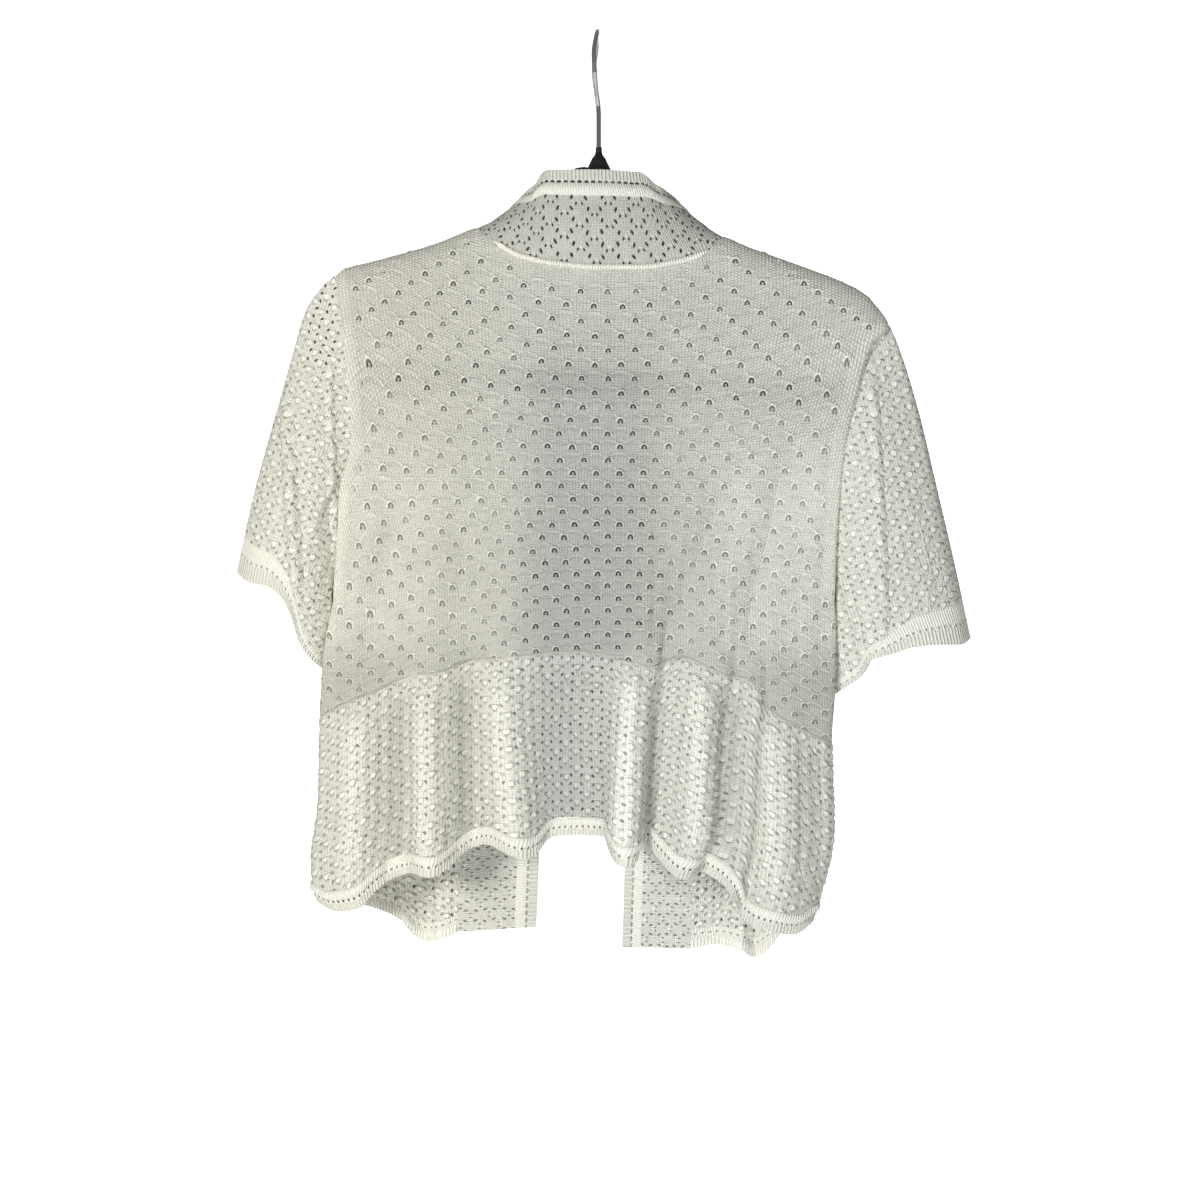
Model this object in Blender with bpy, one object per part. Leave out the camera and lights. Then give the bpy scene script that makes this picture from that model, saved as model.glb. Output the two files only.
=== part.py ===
"""A short-sleeved open knit bolero hanging on a clothes hanger.

Metres, +Z up. The origin is the inner top of the hook, where a rail would carry it. The back of
the cloth faces -Y and the open fronts face +Y, and every table below is in millimetres.
"""

import bpy
import numpy as np

WALL = 1.6
SEAM_GAP = 0.5
TIP_LEFT = -193.0
TIP_RIGHT = -232.8
UNDERARM = -452.0
ARMHOLE_DEPTH = 15.0
SHOULDER_ROLL = 22.0
NECK_LEFT = 0.257
NECK_RIGHT = 0.703
SIDE_POWER = 4.5
HEM_BAND = 15.0
CUFF_BAND = 20.0
LACE_SHARE = 0.72
TUBE_RADIUS = 4.6
WIRE_RADIUS = 2.0
HOOK_RADIUS = 22.0

# Side edges of the body: height, x.
LEFT_EDGE = np.array((
    (-150, -210.0), (-193, -209.6), (-206, -206.4), (-239, -202.4), (-270, -198.4), (-317, -194.8),
    (-337, -196.0), (-358, -203.0), (-412, -207.2), (-452, -211.0), (-492, -218.4), (-542, -221.6),
    (-612, -223.2), (-660, -228.8), (-684, -226.0), (-701, -217.0),
))
RIGHT_EDGE = np.array((
    (-150, 232.0), (-233, 232.0), (-247, 218.5), (-270, 209.6), (-292, 204.0), (-317, 197.6),
    (-341, 193.6), (-363, 191.2), (-432, 188.0), (-483, 189.6), (-526, 188.8), (-564, 186.4),
    (-636, 188.0), (-654, 186.0), (-672, 182.0), (-695, 175.5), (-715, 170.0),
))
# Depth of the hanging tube: height, back, front.
DEPTHS = np.array((
    (-160, 15.0, 14.0), (-250, 18.0, 20.0), (-400, 22.0, 24.0), (-560, 26.0, 28.0),
    (-720, 30.0, 30.0),
))
# Top edge of the back, shoulder to shoulder: share across, height.
BACK_TOP = np.array((
    (0.0, -195.0), (0.02, -187.5), (0.06, -183.0), (0.116, -176.4), (0.152, -172.0), (0.19, -166.6),
    (0.225, -160.2), (0.257, -155.2), (0.270, -161.0), (0.292, -168.0), (0.333, -178.4),
    (0.406, -185.6), (0.478, -188.0), (0.551, -188.0), (0.623, -183.2), (0.680, -173.0),
    (0.703, -162.5), (0.732, -168.0), (0.75, -171.2), (0.804, -179.8), (0.859, -188.6),
    (0.913, -197.9), (0.949, -206.0), (0.967, -212.4), (0.985, -223.0), (1.0, -232.8),
))
# Fold lines of the back: share across at the waist, its height and fold depth there, then the
# share across at the hem, its height and fold depth there.
BACK_FOLDS = np.array((
    (0.000, -545.0, 0.0, 0.000, -690.0, 0.0), (0.030, -538.4, 0.0, 0.035, -697.0, -2.0),
    (0.072, -530.0, -1.0, 0.085, -694.0, -4.0), (0.121, -522.0, 1.0, 0.130, -680.0, 1.0),
    (0.153, -515.2, 3.0, 0.164, -671.0, 7.0), (0.182, -511.2, 1.0, 0.200, -666.5, 0.0),
    (0.231, -508.8, -3.0, 0.238, -668.5, -9.0), (0.266, -502.8, -1.0, 0.275, -660.0, -2.0),
    (0.297, -498.4, 3.0, 0.306, -648.5, 8.0), (0.325, -497.8, 1.0, 0.336, -644.4, 3.0),
    (0.370, -496.5, -2.0, 0.406, -653.6, -8.0), (0.400, -495.0, 0.0, 0.430, -652.0, -4.0),
    (0.452, -493.0, 2.0, 0.462, -638.4, 4.0), (0.501, -492.6, 2.0, 0.508, -637.2, 4.0),
    (0.546, -494.2, 1.0, 0.556, -638.0, 2.0), (0.582, -498.4, -2.0, 0.580, -651.5, -6.0),
    (0.610, -501.2, -4.0, 0.602, -660.0, -13.0), (0.645, -504.0, -5.0, 0.621, -656.0, -10.0),
    (0.668, -500.0, 2.0, 0.636, -642.5, 6.0), (0.700, -497.0, 1.0, 0.662, -653.0, -3.0),
    (0.755, -505.6, -4.0, 0.705, -668.0, -12.0), (0.780, -510.0, -3.0, 0.722, -669.6, -9.0),
    (0.802, -512.2, 3.0, 0.740, -663.6, 5.0), (0.826, -513.5, -1.0, 0.785, -671.8, -5.0),
    (0.845, -521.0, -3.0, 0.818, -684.0, -7.0), (0.862, -534.4, 2.0, 0.842, -700.0, 2.0),
    (0.885, -541.5, -1.0, 0.872, -708.0, -5.0), (0.916, -548.8, -4.0, 0.910, -711.4, -9.0),
    (0.955, -557.6, -2.0, 0.957, -714.8, -5.0), (1.000, -565.0, 0.0, 1.000, -706.0, 0.0),
))
# Long soft drags of the upper back: x and height at each end, half width, depth.
BACK_DRAGS = np.array((
    (55.0, -420.0, 135.0, -300.0, 26.0, -2.5), (95.0, -480.0, 160.0, -350.0, 20.0, 2.5),
    (-150.0, -490.0, -120.0, -330.0, 24.0, -2.5), (-100.0, -480.0, -60.0, -340.0, 22.0, 2.0),
    (60.0, -495.0, 80.0, -420.0, 14.0, -2.0), (-185.0, -500.0, -160.0, -380.0, 16.0, 2.0),
))
# Front panels, side to band: share across, waist height and fold depth, hem height and depth.
FRONT_LEFT_FOLDS = np.array((
    (0.00, -545.0, 0.0, -690.0, 0.0), (0.10, -550.0, -1.0, -698.0, -2.0),
    (0.28, -561.0, 3.0, -702.0, 5.0), (0.46, -568.0, -1.0, -707.0, -3.0),
    (0.56, -571.0, -2.0, -713.0, -5.0), (0.67, -575.0, 1.0, -727.0, 3.0),
    (0.76, -576.5, 3.0, -731.5, 7.0), (0.88, -577.5, -1.0, -728.0, -2.0),
    (1.00, -578.0, 0.0, -722.5, 0.0),
))
FRONT_RIGHT_FOLDS = np.array((
    (0.00, -565.0, 0.0, -706.0, 0.0), (0.12, -570.0, 2.0, -709.0, 3.0),
    (0.20, -572.5, -2.0, -719.0, -3.0), (0.32, -576.0, 0.0, -736.0, 0.0),
    (0.44, -578.0, 4.0, -745.0, 8.0), (0.57, -580.0, -2.0, -736.5, -4.0),
    (0.76, -583.0, 2.0, -733.5, 4.0), (1.00, -585.0, 0.0, -736.0, 0.0),
))
# Where the front band is sewn on: height, x of the left one, x of the right one.
BAND_SEAM = np.array((
    (-150, -96.0, 101.0), (-200, -95.0, 98.5), (-300, -99.0, 92.5), (-450, -104.0, 86.0),
    (-600, -110.0, 79.5), (-740, -115.5, 75.0),
))
# Free edge of the band from its seam, by distance from the middle of the back neck: x, y, z.
BAND_REACH = np.array((
    (-620, 64.0, 5.0, 3.0), (-300, 54.0, 8.0, 0.0), (-180, 47.0, 16.0, 2.0), (-135, 39.0, 30.0, 10.0),
    (-108, 31.0, 40.0, 26.0), (-92, 26.0, 31.0, 41.0), (-72, 18.0, 15.0, 54.5), (-42, 2.0, 6.0, 73.5),
    (0, -3.0, 4.0, 77.0), (40, -11.0, 7.0, 75.5), (72, -26.0, 14.0, 60.0), (92, -30.0, 30.0, 46.0),
    (108, -31.0, 40.0, 29.0), (135, -38.0, 30.0, 10.0), (180, -46.0, 16.0, 2.0), (300, -50.0, 8.0, 0.0),
    (620, -55.0, 5.0, 0.0),
))
# Sleeves, shoulder seam to cuff edge round the back: share round, cuff x, cuff height, cuff depth.
LEFT_CUFF = np.array((
    (0.00, -288.5, -430.0, 0.0), (0.06, -277.0, -438.0, 13.0), (0.14, -262.0, -441.0, 20.0),
    (0.22, -250.5, -449.0, 22.0), (0.30, -242.0, -466.0, 20.0), (0.38, -236.5, -486.0, 17.0),
    (0.45, -231.5, -500.0, 11.0), (0.50, -224.5, -508.0, 0.0),
))
RIGHT_CUFF = np.array((
    (0.00, 297.5, -483.0, 0.0), (0.06, 287.0, -487.5, 14.0), (0.14, 268.0, -487.5, 22.0),
    (0.22, 248.0, -489.5, 25.0), (0.30, 231.0, -495.0, 25.0), (0.37, 216.0, -500.0, 20.0),
    (0.41, 211.0, -513.0, 9.0), (0.46, 203.0, -521.0, 7.0), (0.50, 193.5, -529.0, 0.0),
))
# Outward bow of a sleeve's outer fold: share down, bow of the left one, bow of the right one.
SLEEVE_BOW = np.array((
    (0.0, 0.0, 0.0), (0.06, 7.5, 2.2), (0.15, 12.5, 4.0), (0.3, 11.0, 5.0), (0.5, 9.0, 4.0),
    (0.75, 6.0, 2.5), (1.0, 0.0, 0.0),
))
# Centre line of the hanger's tube: x, height.
HANGER_LEFT = np.array((
    (0.0, -114.5), (-11.0, -109.9), (-19.5, -111.8), (-27.0, -120.0), (-35.5, -132.5), (-48.0, -144.0),
    (-96.0, -162.8), (-142.0, -179.4), (-182.0, -193.2), (-194.0, -198.0), (-202.0, -206.0),
    (-203.0, -218.0), (-200.0, -236.0), (-196.0, -253.0), (-190.0, -263.5), (-178.0, -268.0),
    (0.0, -276.5),
))
HANGER_RIGHT = np.array((
    (0.0, -114.5), (13.0, -116.5), (24.0, -122.5), (36.0, -136.0), (50.0, -147.6),
    (101.0, -169.8), (150.0, -188.2), (184.0, -201.2), (197.0, -208.5), (203.0, -219.0),
    (203.0, -231.0), (199.0, -249.0), (192.0, -272.0), (186.0, -282.0), (174.0, -285.5),
    (0.0, -276.5),
))
# Sideways lean of the hook, seen from behind: height, x.
HOOK_LEAN = np.array((
    (-118, 0.6), (-62, 0.6), (-47, -1.4), (-35, -2.6), (-20, -3.2), (-8, -1.6), (3, 0.0),
))


def smooth(x, places, values):
    """A curve through the rows that never swings past them (cubic, its slopes kept monotone)."""
    order = np.argsort(places)
    px, py = np.asarray(places, float)[order], np.asarray(values, float)[order]
    step = np.diff(px)
    rate = np.diff(py) / step
    slope = np.zeros(len(px))
    same = rate[:-1] * rate[1:] > 0
    mean = 2 * rate[:-1] * rate[1:] / np.where(same, rate[:-1] + rate[1:], 1)
    slope[1:-1] = np.where(same, mean, 0)
    slope[0], slope[-1] = rate[0], rate[-1]
    x = np.clip(np.asarray(x, float), px[0], px[-1])
    i = np.clip(np.searchsorted(px, x, side="right") - 1, 0, len(step) - 1)
    h = step[i]
    t = (x - px[i]) / h
    return (
        py[i] * (1 + 2 * t) * (1 - t) ** 2 + slope[i] * h * t * (1 - t) ** 2
        + py[i + 1] * t * t * (3 - 2 * t) + slope[i + 1] * h * t * t * (t - 1)
    )


def column(x, table, number):
    return smooth(x, table[:, 0], table[:, number])


def ease(t):
    t = np.clip(t, 0, 1)
    return t * t * (3 - 2 * t)


def rounded(t, power):
    """Rises from 0 to 1 as a quarter of a superellipse."""
    return (1 - (1 - np.clip(t, 0, 1)) ** power) ** (1 / power)


def armhole_depth(z, tip):
    """How far the armhole edge stands from the middle plane: none at the shoulder and underarm."""
    share = np.clip((tip - z) / (tip - UNDERARM), 0, 1)
    return ARMHOLE_DEPTH * np.sin(np.pi * share) ** 0.7


def shoulder_line(k):
    """Height of the shoulder roll across the back, carried over the neck by a low arch."""
    share = (k - NECK_LEFT) / (NECK_RIGHT - NECK_LEFT)
    inside = (share > 0) & (share < 1)
    arch = -154.5 - 7.5 * share + 12 * np.sin(np.pi * np.clip(share, 0, 1))
    return np.where(inside, arch, column(k, BACK_TOP, 1))


def back(k, v):
    """The back: k is the share across at the waist, v is 0 at the top, 1 at the waist, 2 at the hem."""
    top, waist = column(k, BACK_TOP, 1), column(k, BACK_FOLDS, 1)
    up, low = np.clip(v, 0, 1), np.clip(v - 1, 0, 1)
    z = top + (waist - top) * up + (column(k, BACK_FOLDS, 4) - waist) * low
    u = k + (column(k, BACK_FOLDS, 3) - k) * low
    left, right = column(z, LEFT_EDGE, 1), column(z, RIGHT_EDGE, 1)
    x = left + (right - left) * u
    tip = np.where(u < 0.5, TIP_LEFT, TIP_RIGHT)
    edge = armhole_depth(z, tip)
    round_side = rounded(1 - np.abs(2 * u - 1), SIDE_POWER)
    roll = rounded((shoulder_line(k) - z) / SHOULDER_ROLL, 2)
    depth = (edge + (column(z, DEPTHS, 1) - edge) * round_side) * roll
    at_waist, at_hem = column(k, BACK_FOLDS, 2), column(k, BACK_FOLDS, 5)
    fold = at_waist * ease((up - 0.45) / 0.55) + (at_hem - at_waist) * low
    x_end, z_end = BACK_DRAGS[:, 0], BACK_DRAGS[:, 1]
    run_x, run_z = BACK_DRAGS[:, 2] - x_end, BACK_DRAGS[:, 3] - z_end
    along = ((x[..., None] - x_end) * run_x + (z[..., None] - z_end) * run_z) / (run_x**2 + run_z**2)
    off = np.hypot(x[..., None] - x_end - along * run_x, z[..., None] - z_end - along * run_z)
    beyond = np.clip(np.abs(along - 0.5) - 0.3, 0, None) / 0.25
    fade = np.exp(-((off / BACK_DRAGS[:, 4]) ** 2) - beyond**2)
    fold = fold + (fade * BACK_DRAGS[:, 5]).sum(axis=-1)
    return np.stack((x, -depth + fold * round_side, z), axis=-1)


def front(side, f, v):
    """A front: f is the share from side seam to band seam, v is 0 at the shoulder and 2 at the hem."""
    table = FRONT_LEFT_FOLDS if side < 0 else FRONT_RIGHT_FOLDS
    neck = NECK_LEFT if side < 0 else NECK_RIGHT
    k = f * neck if side < 0 else 1 - f * (1 - neck)
    top, waist = column(k, BACK_TOP, 1), column(f, table, 1)
    up, low = np.clip(v, 0, 1), np.clip(v - 1, 0, 1)
    z = top + (waist - top) * up + (column(f, table, 3) - waist) * low
    outer = column(z, LEFT_EDGE if side < 0 else RIGHT_EDGE, 1)
    inner = column(z, BAND_SEAM, 1 if side < 0 else 2)
    x = outer + (inner - outer) * f
    edge = armhole_depth(z, TIP_LEFT if side < 0 else TIP_RIGHT)
    round_side = rounded(f * 1.6, SIDE_POWER)
    roll = rounded((top - z) / SHOULDER_ROLL, 2)
    depth = (edge + (column(z, DEPTHS, 2) - edge) * round_side) * roll
    at_waist, at_hem = column(f, table, 2), column(f, table, 4)
    fold = at_waist * ease((up - 0.3) / 0.7) + (at_hem - at_waist) * low
    return np.stack((x, depth + fold * round_side, z), axis=-1)


def sleeve(side, t, w):
    """A sleeve: t goes round it from the shoulder by the back, w is 0 at the armhole, 1 at the cuff."""
    t, w = np.broadcast_arrays(np.asarray(t, float) % 1, np.asarray(w, float))
    half = np.where(t <= 0.5, t, 1 - t)
    face = np.where(t <= 0.5, -1.0, 1.0)
    tip = TIP_LEFT if side < 0 else TIP_RIGHT
    start_z = tip + (UNDERARM - tip) * (1 - np.cos(2 * np.pi * half)) / 2
    edge = column(start_z, LEFT_EDGE if side < 0 else RIGHT_EDGE, 1)
    start_x = edge + side * (0.75 + 2.0 * ease((half - 0.38) / 0.12))
    start_y = face * armhole_depth(start_z, tip)
    cuff = LEFT_CUFF if side < 0 else RIGHT_CUFF
    end_x = column(half, cuff, 1)
    end_y = face * column(half, cuff, 3)
    end_z = column(half, cuff, 2) + np.where(face > 0, 2.0, 0.0) * np.sin(2 * np.pi * half)
    bow = column(w, SLEEVE_BOW, 1 if side < 0 else 2) * (0.5 + 0.5 * np.cos(2 * np.pi * half)) ** 1.3
    belly = face * 9.0 * np.sin(np.pi * w) * np.sin(2 * np.pi * np.clip(half, 0, 0.5)) ** 0.8
    x = start_x + (end_x - start_x) * w + side * bow
    y = start_y + (end_y - start_y) * w + belly
    z = start_z + (end_z - start_z) * w + 0.35 * bow
    return np.stack(np.broadcast_arrays(x, y, z), axis=-1)


def band_seam(count):
    """The seam of the band from the left front's hem, round the back neck, to the right one's."""
    down = np.linspace(2, 0, count) ** 1.15 * 2 ** -0.15
    neck = np.linspace(NECK_LEFT, NECK_RIGHT, count)
    line = np.concatenate((
        front(-1, np.ones(count), down)[:-1],
        back(neck, np.zeros(count))[:-1],
        front(1, np.ones(count), down[::-1]),
    ))
    run = np.concatenate(((0.0,), np.cumsum(np.linalg.norm(np.diff(line, axis=0), axis=1))))
    middle = run[count - 1] + (run[2 * count - 2] - run[count - 1]) / 2
    return line, run - middle


SEAM_LINE, SEAM_RUN = band_seam(61)


def band(s, c):
    """The band: s is the distance along its seam from the back neck's middle, c its share across."""
    s, c = np.broadcast_arrays(np.asarray(s, float), np.asarray(c, float))
    seam = np.stack([np.interp(s, SEAM_RUN, SEAM_LINE[:, i]) for i in range(3)], axis=-1)
    reach = np.stack([column(s, BAND_REACH, i) for i in (1, 2, 3)], axis=-1)
    behind = np.exp(-((s / 95.0) ** 4))
    bow = np.sin(np.pi * c) * (3.5 * behind)
    lift = 0.45 + 0.85 * np.exp(-(((np.abs(s) - 115.0) / 32.0) ** 2))
    point = seam + unit(reach) * lift[..., None] + reach * c[..., None]
    point[..., 1] -= bow + reach[..., 1] * (c - np.abs(c) ** 1.6) * behind
    return point


def unit(vectors):
    return vectors / np.maximum(np.linalg.norm(vectors, axis=-1, keepdims=True), 1e-9)


def surface_normals(surface, across, down, steps):
    """Unit normals taken from the surface itself, so that neighbouring pieces share them."""
    e, d = steps
    return unit(np.cross(
        surface(across + e, down) - surface(across - e, down),
        surface(across, down + d) - surface(across, down - d),
    ))


def walled(grid, out, loops):
    """Points and faces of a sheet of even thickness, the grid running through its middle."""
    rows, columns = grid.shape[:2]
    points = np.concatenate(((grid + out).reshape(-1, 3), (grid - out).reshape(-1, 3)))
    i, j = np.meshgrid(np.arange(rows - 1), np.arange(columns if loops else columns - 1), indexing="ij")
    nxt = (j + 1) % columns
    here, below = i * columns, (i + 1) * columns
    quads = np.stack((here + j, here + nxt, below + nxt, below + j), -1).reshape(-1, 4)
    under = rows * columns
    across = np.arange(columns if loops else columns - 1)
    after = (across + 1) % columns
    last = (rows - 1) * columns
    faces = [quads, quads[:, ::-1] + under]
    faces.append(np.stack((after, across, across + under, after + under), -1))
    faces.append(np.stack((across + last, after + last, after + last + under, across + last + under), -1))
    if not loops:
        down = np.arange(rows - 1) * columns
        step, end = down + columns, columns - 1
        faces.append(np.stack((down, step, step + under, down + under), -1))
        faces.append(np.stack((step + end, down + end, down + end + under, step + end + under), -1))
    return points, np.concatenate(faces)


def rod(line, radius, sides):
    """Points and faces of a round rod along a line, its ends capped by fans."""
    ahead = unit(np.gradient(line, axis=0))
    side = unit(np.cross(ahead, (0.0, 1.0, 0.0)) + np.cross(ahead, (1.0, 0.0, 0.0)) * 1e-3)
    other = np.cross(ahead, side)
    turn = np.linspace(0, 2 * np.pi, sides, endpoint=False)
    ring = side[:, None] * np.cos(turn)[:, None] + other[:, None] * np.sin(turn)[:, None]
    points = (line[:, None] + ring * np.reshape(radius, (-1, 1, 1))).reshape(-1, 3)
    i, j = np.meshgrid(np.arange(len(line) - 1), np.arange(sides), indexing="ij")
    nxt = (j + 1) % sides
    quads = np.stack((i * sides + j, i * sides + nxt, (i + 1) * sides + nxt, (i + 1) * sides + j), -1)
    return points, quads.reshape(-1, 4), len(line), sides


def material(name, colour, roughness, metallic=0.0):
    made = bpy.data.materials.new(name)
    made.use_nodes = True
    shader = made.node_tree.nodes["Principled BSDF"]
    shader.inputs["Base Color"].default_value = (*colour, 1.0)
    shader.inputs["Roughness"].default_value = roughness
    shader.inputs["Metallic"].default_value = metallic
    made.diffuse_color = (*colour, 1.0)
    return made


def place(name, points, faces, look, caps=()):
    """One named object from points in millimetres, its faces turned to point outwards."""
    mesh = bpy.data.meshes.new(name)
    mesh.from_pydata((points * 0.001).tolist(), [], [list(face) for face in faces] + list(caps))
    mesh.validate()
    if signed_volume(mesh) < 0:
        mesh.flip_normals()
    mesh.polygons.foreach_set("use_smooth", np.ones(len(mesh.polygons), bool))
    mesh.materials.append(look)
    made = bpy.data.objects.new(name, mesh)
    bpy.context.scene.collection.objects.link(made)
    return made


def signed_volume(mesh):
    mesh.calc_loop_triangles()
    points = np.array([vertex.co[:] for vertex in mesh.vertices])
    triangles = np.array([triangle.vertices[:] for triangle in mesh.loop_triangles])
    a, b, c = (points[triangles[:, i]] for i in range(3))
    return np.einsum("ij,ij->i", a, np.cross(b, c)).sum() / 6


def trimmed(start, end, length, count):
    """Even shares from start to end, each end drawn in by half the seam gap."""
    inset = SEAM_GAP / 2 / length
    return np.linspace(start + inset, end - inset, count)


def across_shares(most):
    """Places across the back: its fold lines, the neck points, and enough between them."""
    known = BACK_FOLDS[:, 0]
    for extra in (0.012, NECK_LEFT, 0.270, 0.292, 0.680, NECK_RIGHT, 0.988):
        known = np.append(known[np.abs(known - extra) > 0.009], extra)
    known = np.sort(known)
    places = [0.0]
    for place_now in known[1:]:
        steps = int(np.ceil((place_now - places[-1]) / most))
        places.extend(np.linspace(places[-1], place_now, steps + 1)[1:])
    return np.array(places)


def sheet(name, surface, first, second, look, loops=False, steps=(2e-3, 1e-2)):
    """A named panel: the surface sampled on rows of the first values and columns of the second."""
    down, across = np.meshgrid(first, second, indexing="ij")
    out = surface_normals(surface, across, down, steps) * WALL / 2
    points, faces = walled(surface(across, down), out, loops)
    place(name, points, faces, look)


def clear_scene():
    for item in list(bpy.data.objects):
        bpy.data.objects.remove(item, do_unlink=True)


def inset_shares(values, width):
    values = values.copy()
    values[0] += SEAM_GAP / 2 / width
    values[-1] -= SEAM_GAP / 2 / width
    return values


def build_body(knit):
    k = inset_shares(across_shares(0.022), 410.0)
    band_share = HEM_BAND / 150.0
    sheet("back_upper", back, np.concatenate((
        (0.0015, 0.02, 0.045), trimmed(0.09, 1.0, 320.0, 9))), k, knit)
    sheet("back_lower", back, trimmed(1.0, 2.0 - band_share, 150.0, 7), k, knit)
    sheet("hem_back", back, trimmed(2.0 - band_share, 2.0, 150.0, 3), k, knit)
    for side, word in ((-1, "left"), (1, "right")):
        f = inset_shares(np.linspace(0, 1, 19) ** 1.35, 110.0)

        def panel(share, v, side=side):
            return front(side, share, v)

        sheet(f"front_upper_{word}", panel, np.concatenate((
            (0.0015, 0.02, 0.045), trimmed(0.08, 1.0, 360.0, 9))), f, knit)
        sheet(f"front_lower_{word}", panel, trimmed(1.0, 2.0 - band_share, 75.0, 6), f, knit)
        sheet(f"hem_front_{word}", panel, trimmed(2.0 - band_share, 2.0, 75.0, 3), f, knit)


def build_sleeves(knit):
    for side, word in ((-1, "left"), (1, "right")):
        turn = np.linspace(0, 1, 34, endpoint=False)

        def tube(t, w, side=side):
            return sleeve(side, t, w)

        cut = 1 - CUFF_BAND / 170.0
        sheet(f"sleeve_{word}", tube, trimmed(0.0, cut, 60.0, 11), turn, knit, loops=True)
        sheet(f"cuff_{word}", tube, trimmed(cut, 1.0, 60.0, 3), turn, knit, loops=True)


def build_band(knit, rib):
    half = SEAM_RUN[-1]
    along = np.concatenate((
        np.linspace(SEAM_RUN[0], -160, 14)[:-1], np.linspace(-160, 160, 41), np.linspace(160, half, 14)[1:],
    ))
    steps = (0.5, 0.01)
    lace = np.linspace(0.0, LACE_SHARE - 0.15 / 65, 5)
    sheet("collar_lace", band, lace, along, knit, steps=steps)
    sheet("collar_rib", band, np.linspace(LACE_SHARE + 0.15 / 65, 1.0, 4), along, rib, steps=steps)


def build_hanger(plastic, chrome):
    loop = np.concatenate((HANGER_LEFT, HANGER_RIGHT[::-1][1:-1]))
    ring = np.column_stack((loop[:, 0], np.zeros(len(loop)), loop[:, 1]))
    closed = np.vstack((ring, ring[:1]))
    run = np.concatenate(((0.0,), np.cumsum(np.linalg.norm(np.diff(closed, axis=0), axis=1))))
    even = np.concatenate((run, run[:-1] + np.diff(run) / 2))
    even = np.sort(even)[:-1]
    line = np.stack([smooth(even, run, closed[:, i]) for i in range(3)], axis=-1)
    ahead = unit(np.roll(line, -1, axis=0) - np.roll(line, 1, axis=0))
    side = np.cross(ahead, (0.0, 1.0, 0.0))
    turn = np.linspace(0, 2 * np.pi, 10, endpoint=False)
    circle = side[:, None] * np.cos(turn)[:, None] + np.array((0.0, 1.0, 0.0)) * np.sin(turn)[:, None]
    points = (line[:, None] + circle * TUBE_RADIUS).reshape(-1, 3)
    i, j = np.meshgrid(np.arange(len(line)), np.arange(10), indexing="ij")
    after, nxt = (i + 1) % len(line), (j + 1) % 10
    faces = np.stack((i * 10 + j, i * 10 + nxt, after * 10 + nxt, after * 10 + j), -1).reshape(-1, 4)
    tube = place("hanger_body", points, faces, plastic)
    neck_heights = (-116.0, -109.0, -103.0, -99.0, -96.5, -94.0, -90.0)
    neck_line = np.array([(0.6, 0.0, z) for z in neck_heights])
    neck_radius = np.array((8.0, 10.5, 7.4, 5.6, 3.6, 2.6, 2.5))
    points, quads, rings, sides = rod(neck_line, neck_radius, 20)
    caps = [list(range(sides))[::-1], [(rings - 1) * sides + n for n in range(sides)]]
    neck = place("hanger_neck", points, quads, plastic, caps)
    joint = tube.modifiers.new("neck", "BOOLEAN")
    joint.operation, joint.solver, joint.object = "UNION", "EXACT", neck
    neck.hide_render = True
    neck.hide_viewport = True
    angles = np.radians(np.linspace(200, -55, 30))
    curl = np.column_stack((
        np.zeros(30), np.cos(angles) * HOOK_RADIUS, np.sin(angles) * HOOK_RADIUS - 20.0,
    ))
    stem = np.array((
        (0, 0, -89.6), (0, 0, -75.0), (0, 0, -64.0), (0, -1.5, -57.0), (0, -6.0, -50.0),
        (0, -13.0, -42.0), (0, -18.5, -34.5),
    ))
    path = np.vstack((stem, curl))
    path[:, 0] = column(path[:, 2], HOOK_LEAN, 1)
    points, quads, rings, sides = rod(path, np.full(len(path), WIRE_RADIUS), 10)
    caps = [list(range(sides))[::-1], [(rings - 1) * sides + n for n in range(sides)]]
    place("hanger_hook", points, quads, chrome, caps)


def main():
    clear_scene()
    knit = material("cream_knit", (0.80, 0.78, 0.72), 0.85)
    rib = material("cream_rib", (0.82, 0.80, 0.74), 0.8)
    plastic = material("black_plastic", (0.015, 0.014, 0.014), 0.35)
    chrome = material("chrome", (0.75, 0.75, 0.76), 0.15, 1.0)
    build_body(knit)
    build_sleeves(knit)
    build_band(knit, rib)
    build_hanger(plastic, chrome)


main()
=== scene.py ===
"""Looks for a short-sleeved open knit bolero that hangs on a clothes hanger.

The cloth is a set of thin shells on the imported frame's surfaces. Lengths in the tables are
millimetres, and every mesh is in metres. Each shell carries a UV map that counts stitches, so its
material and its relief draw the same eyelets, bobbles and ribs.
"""

import math

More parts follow.
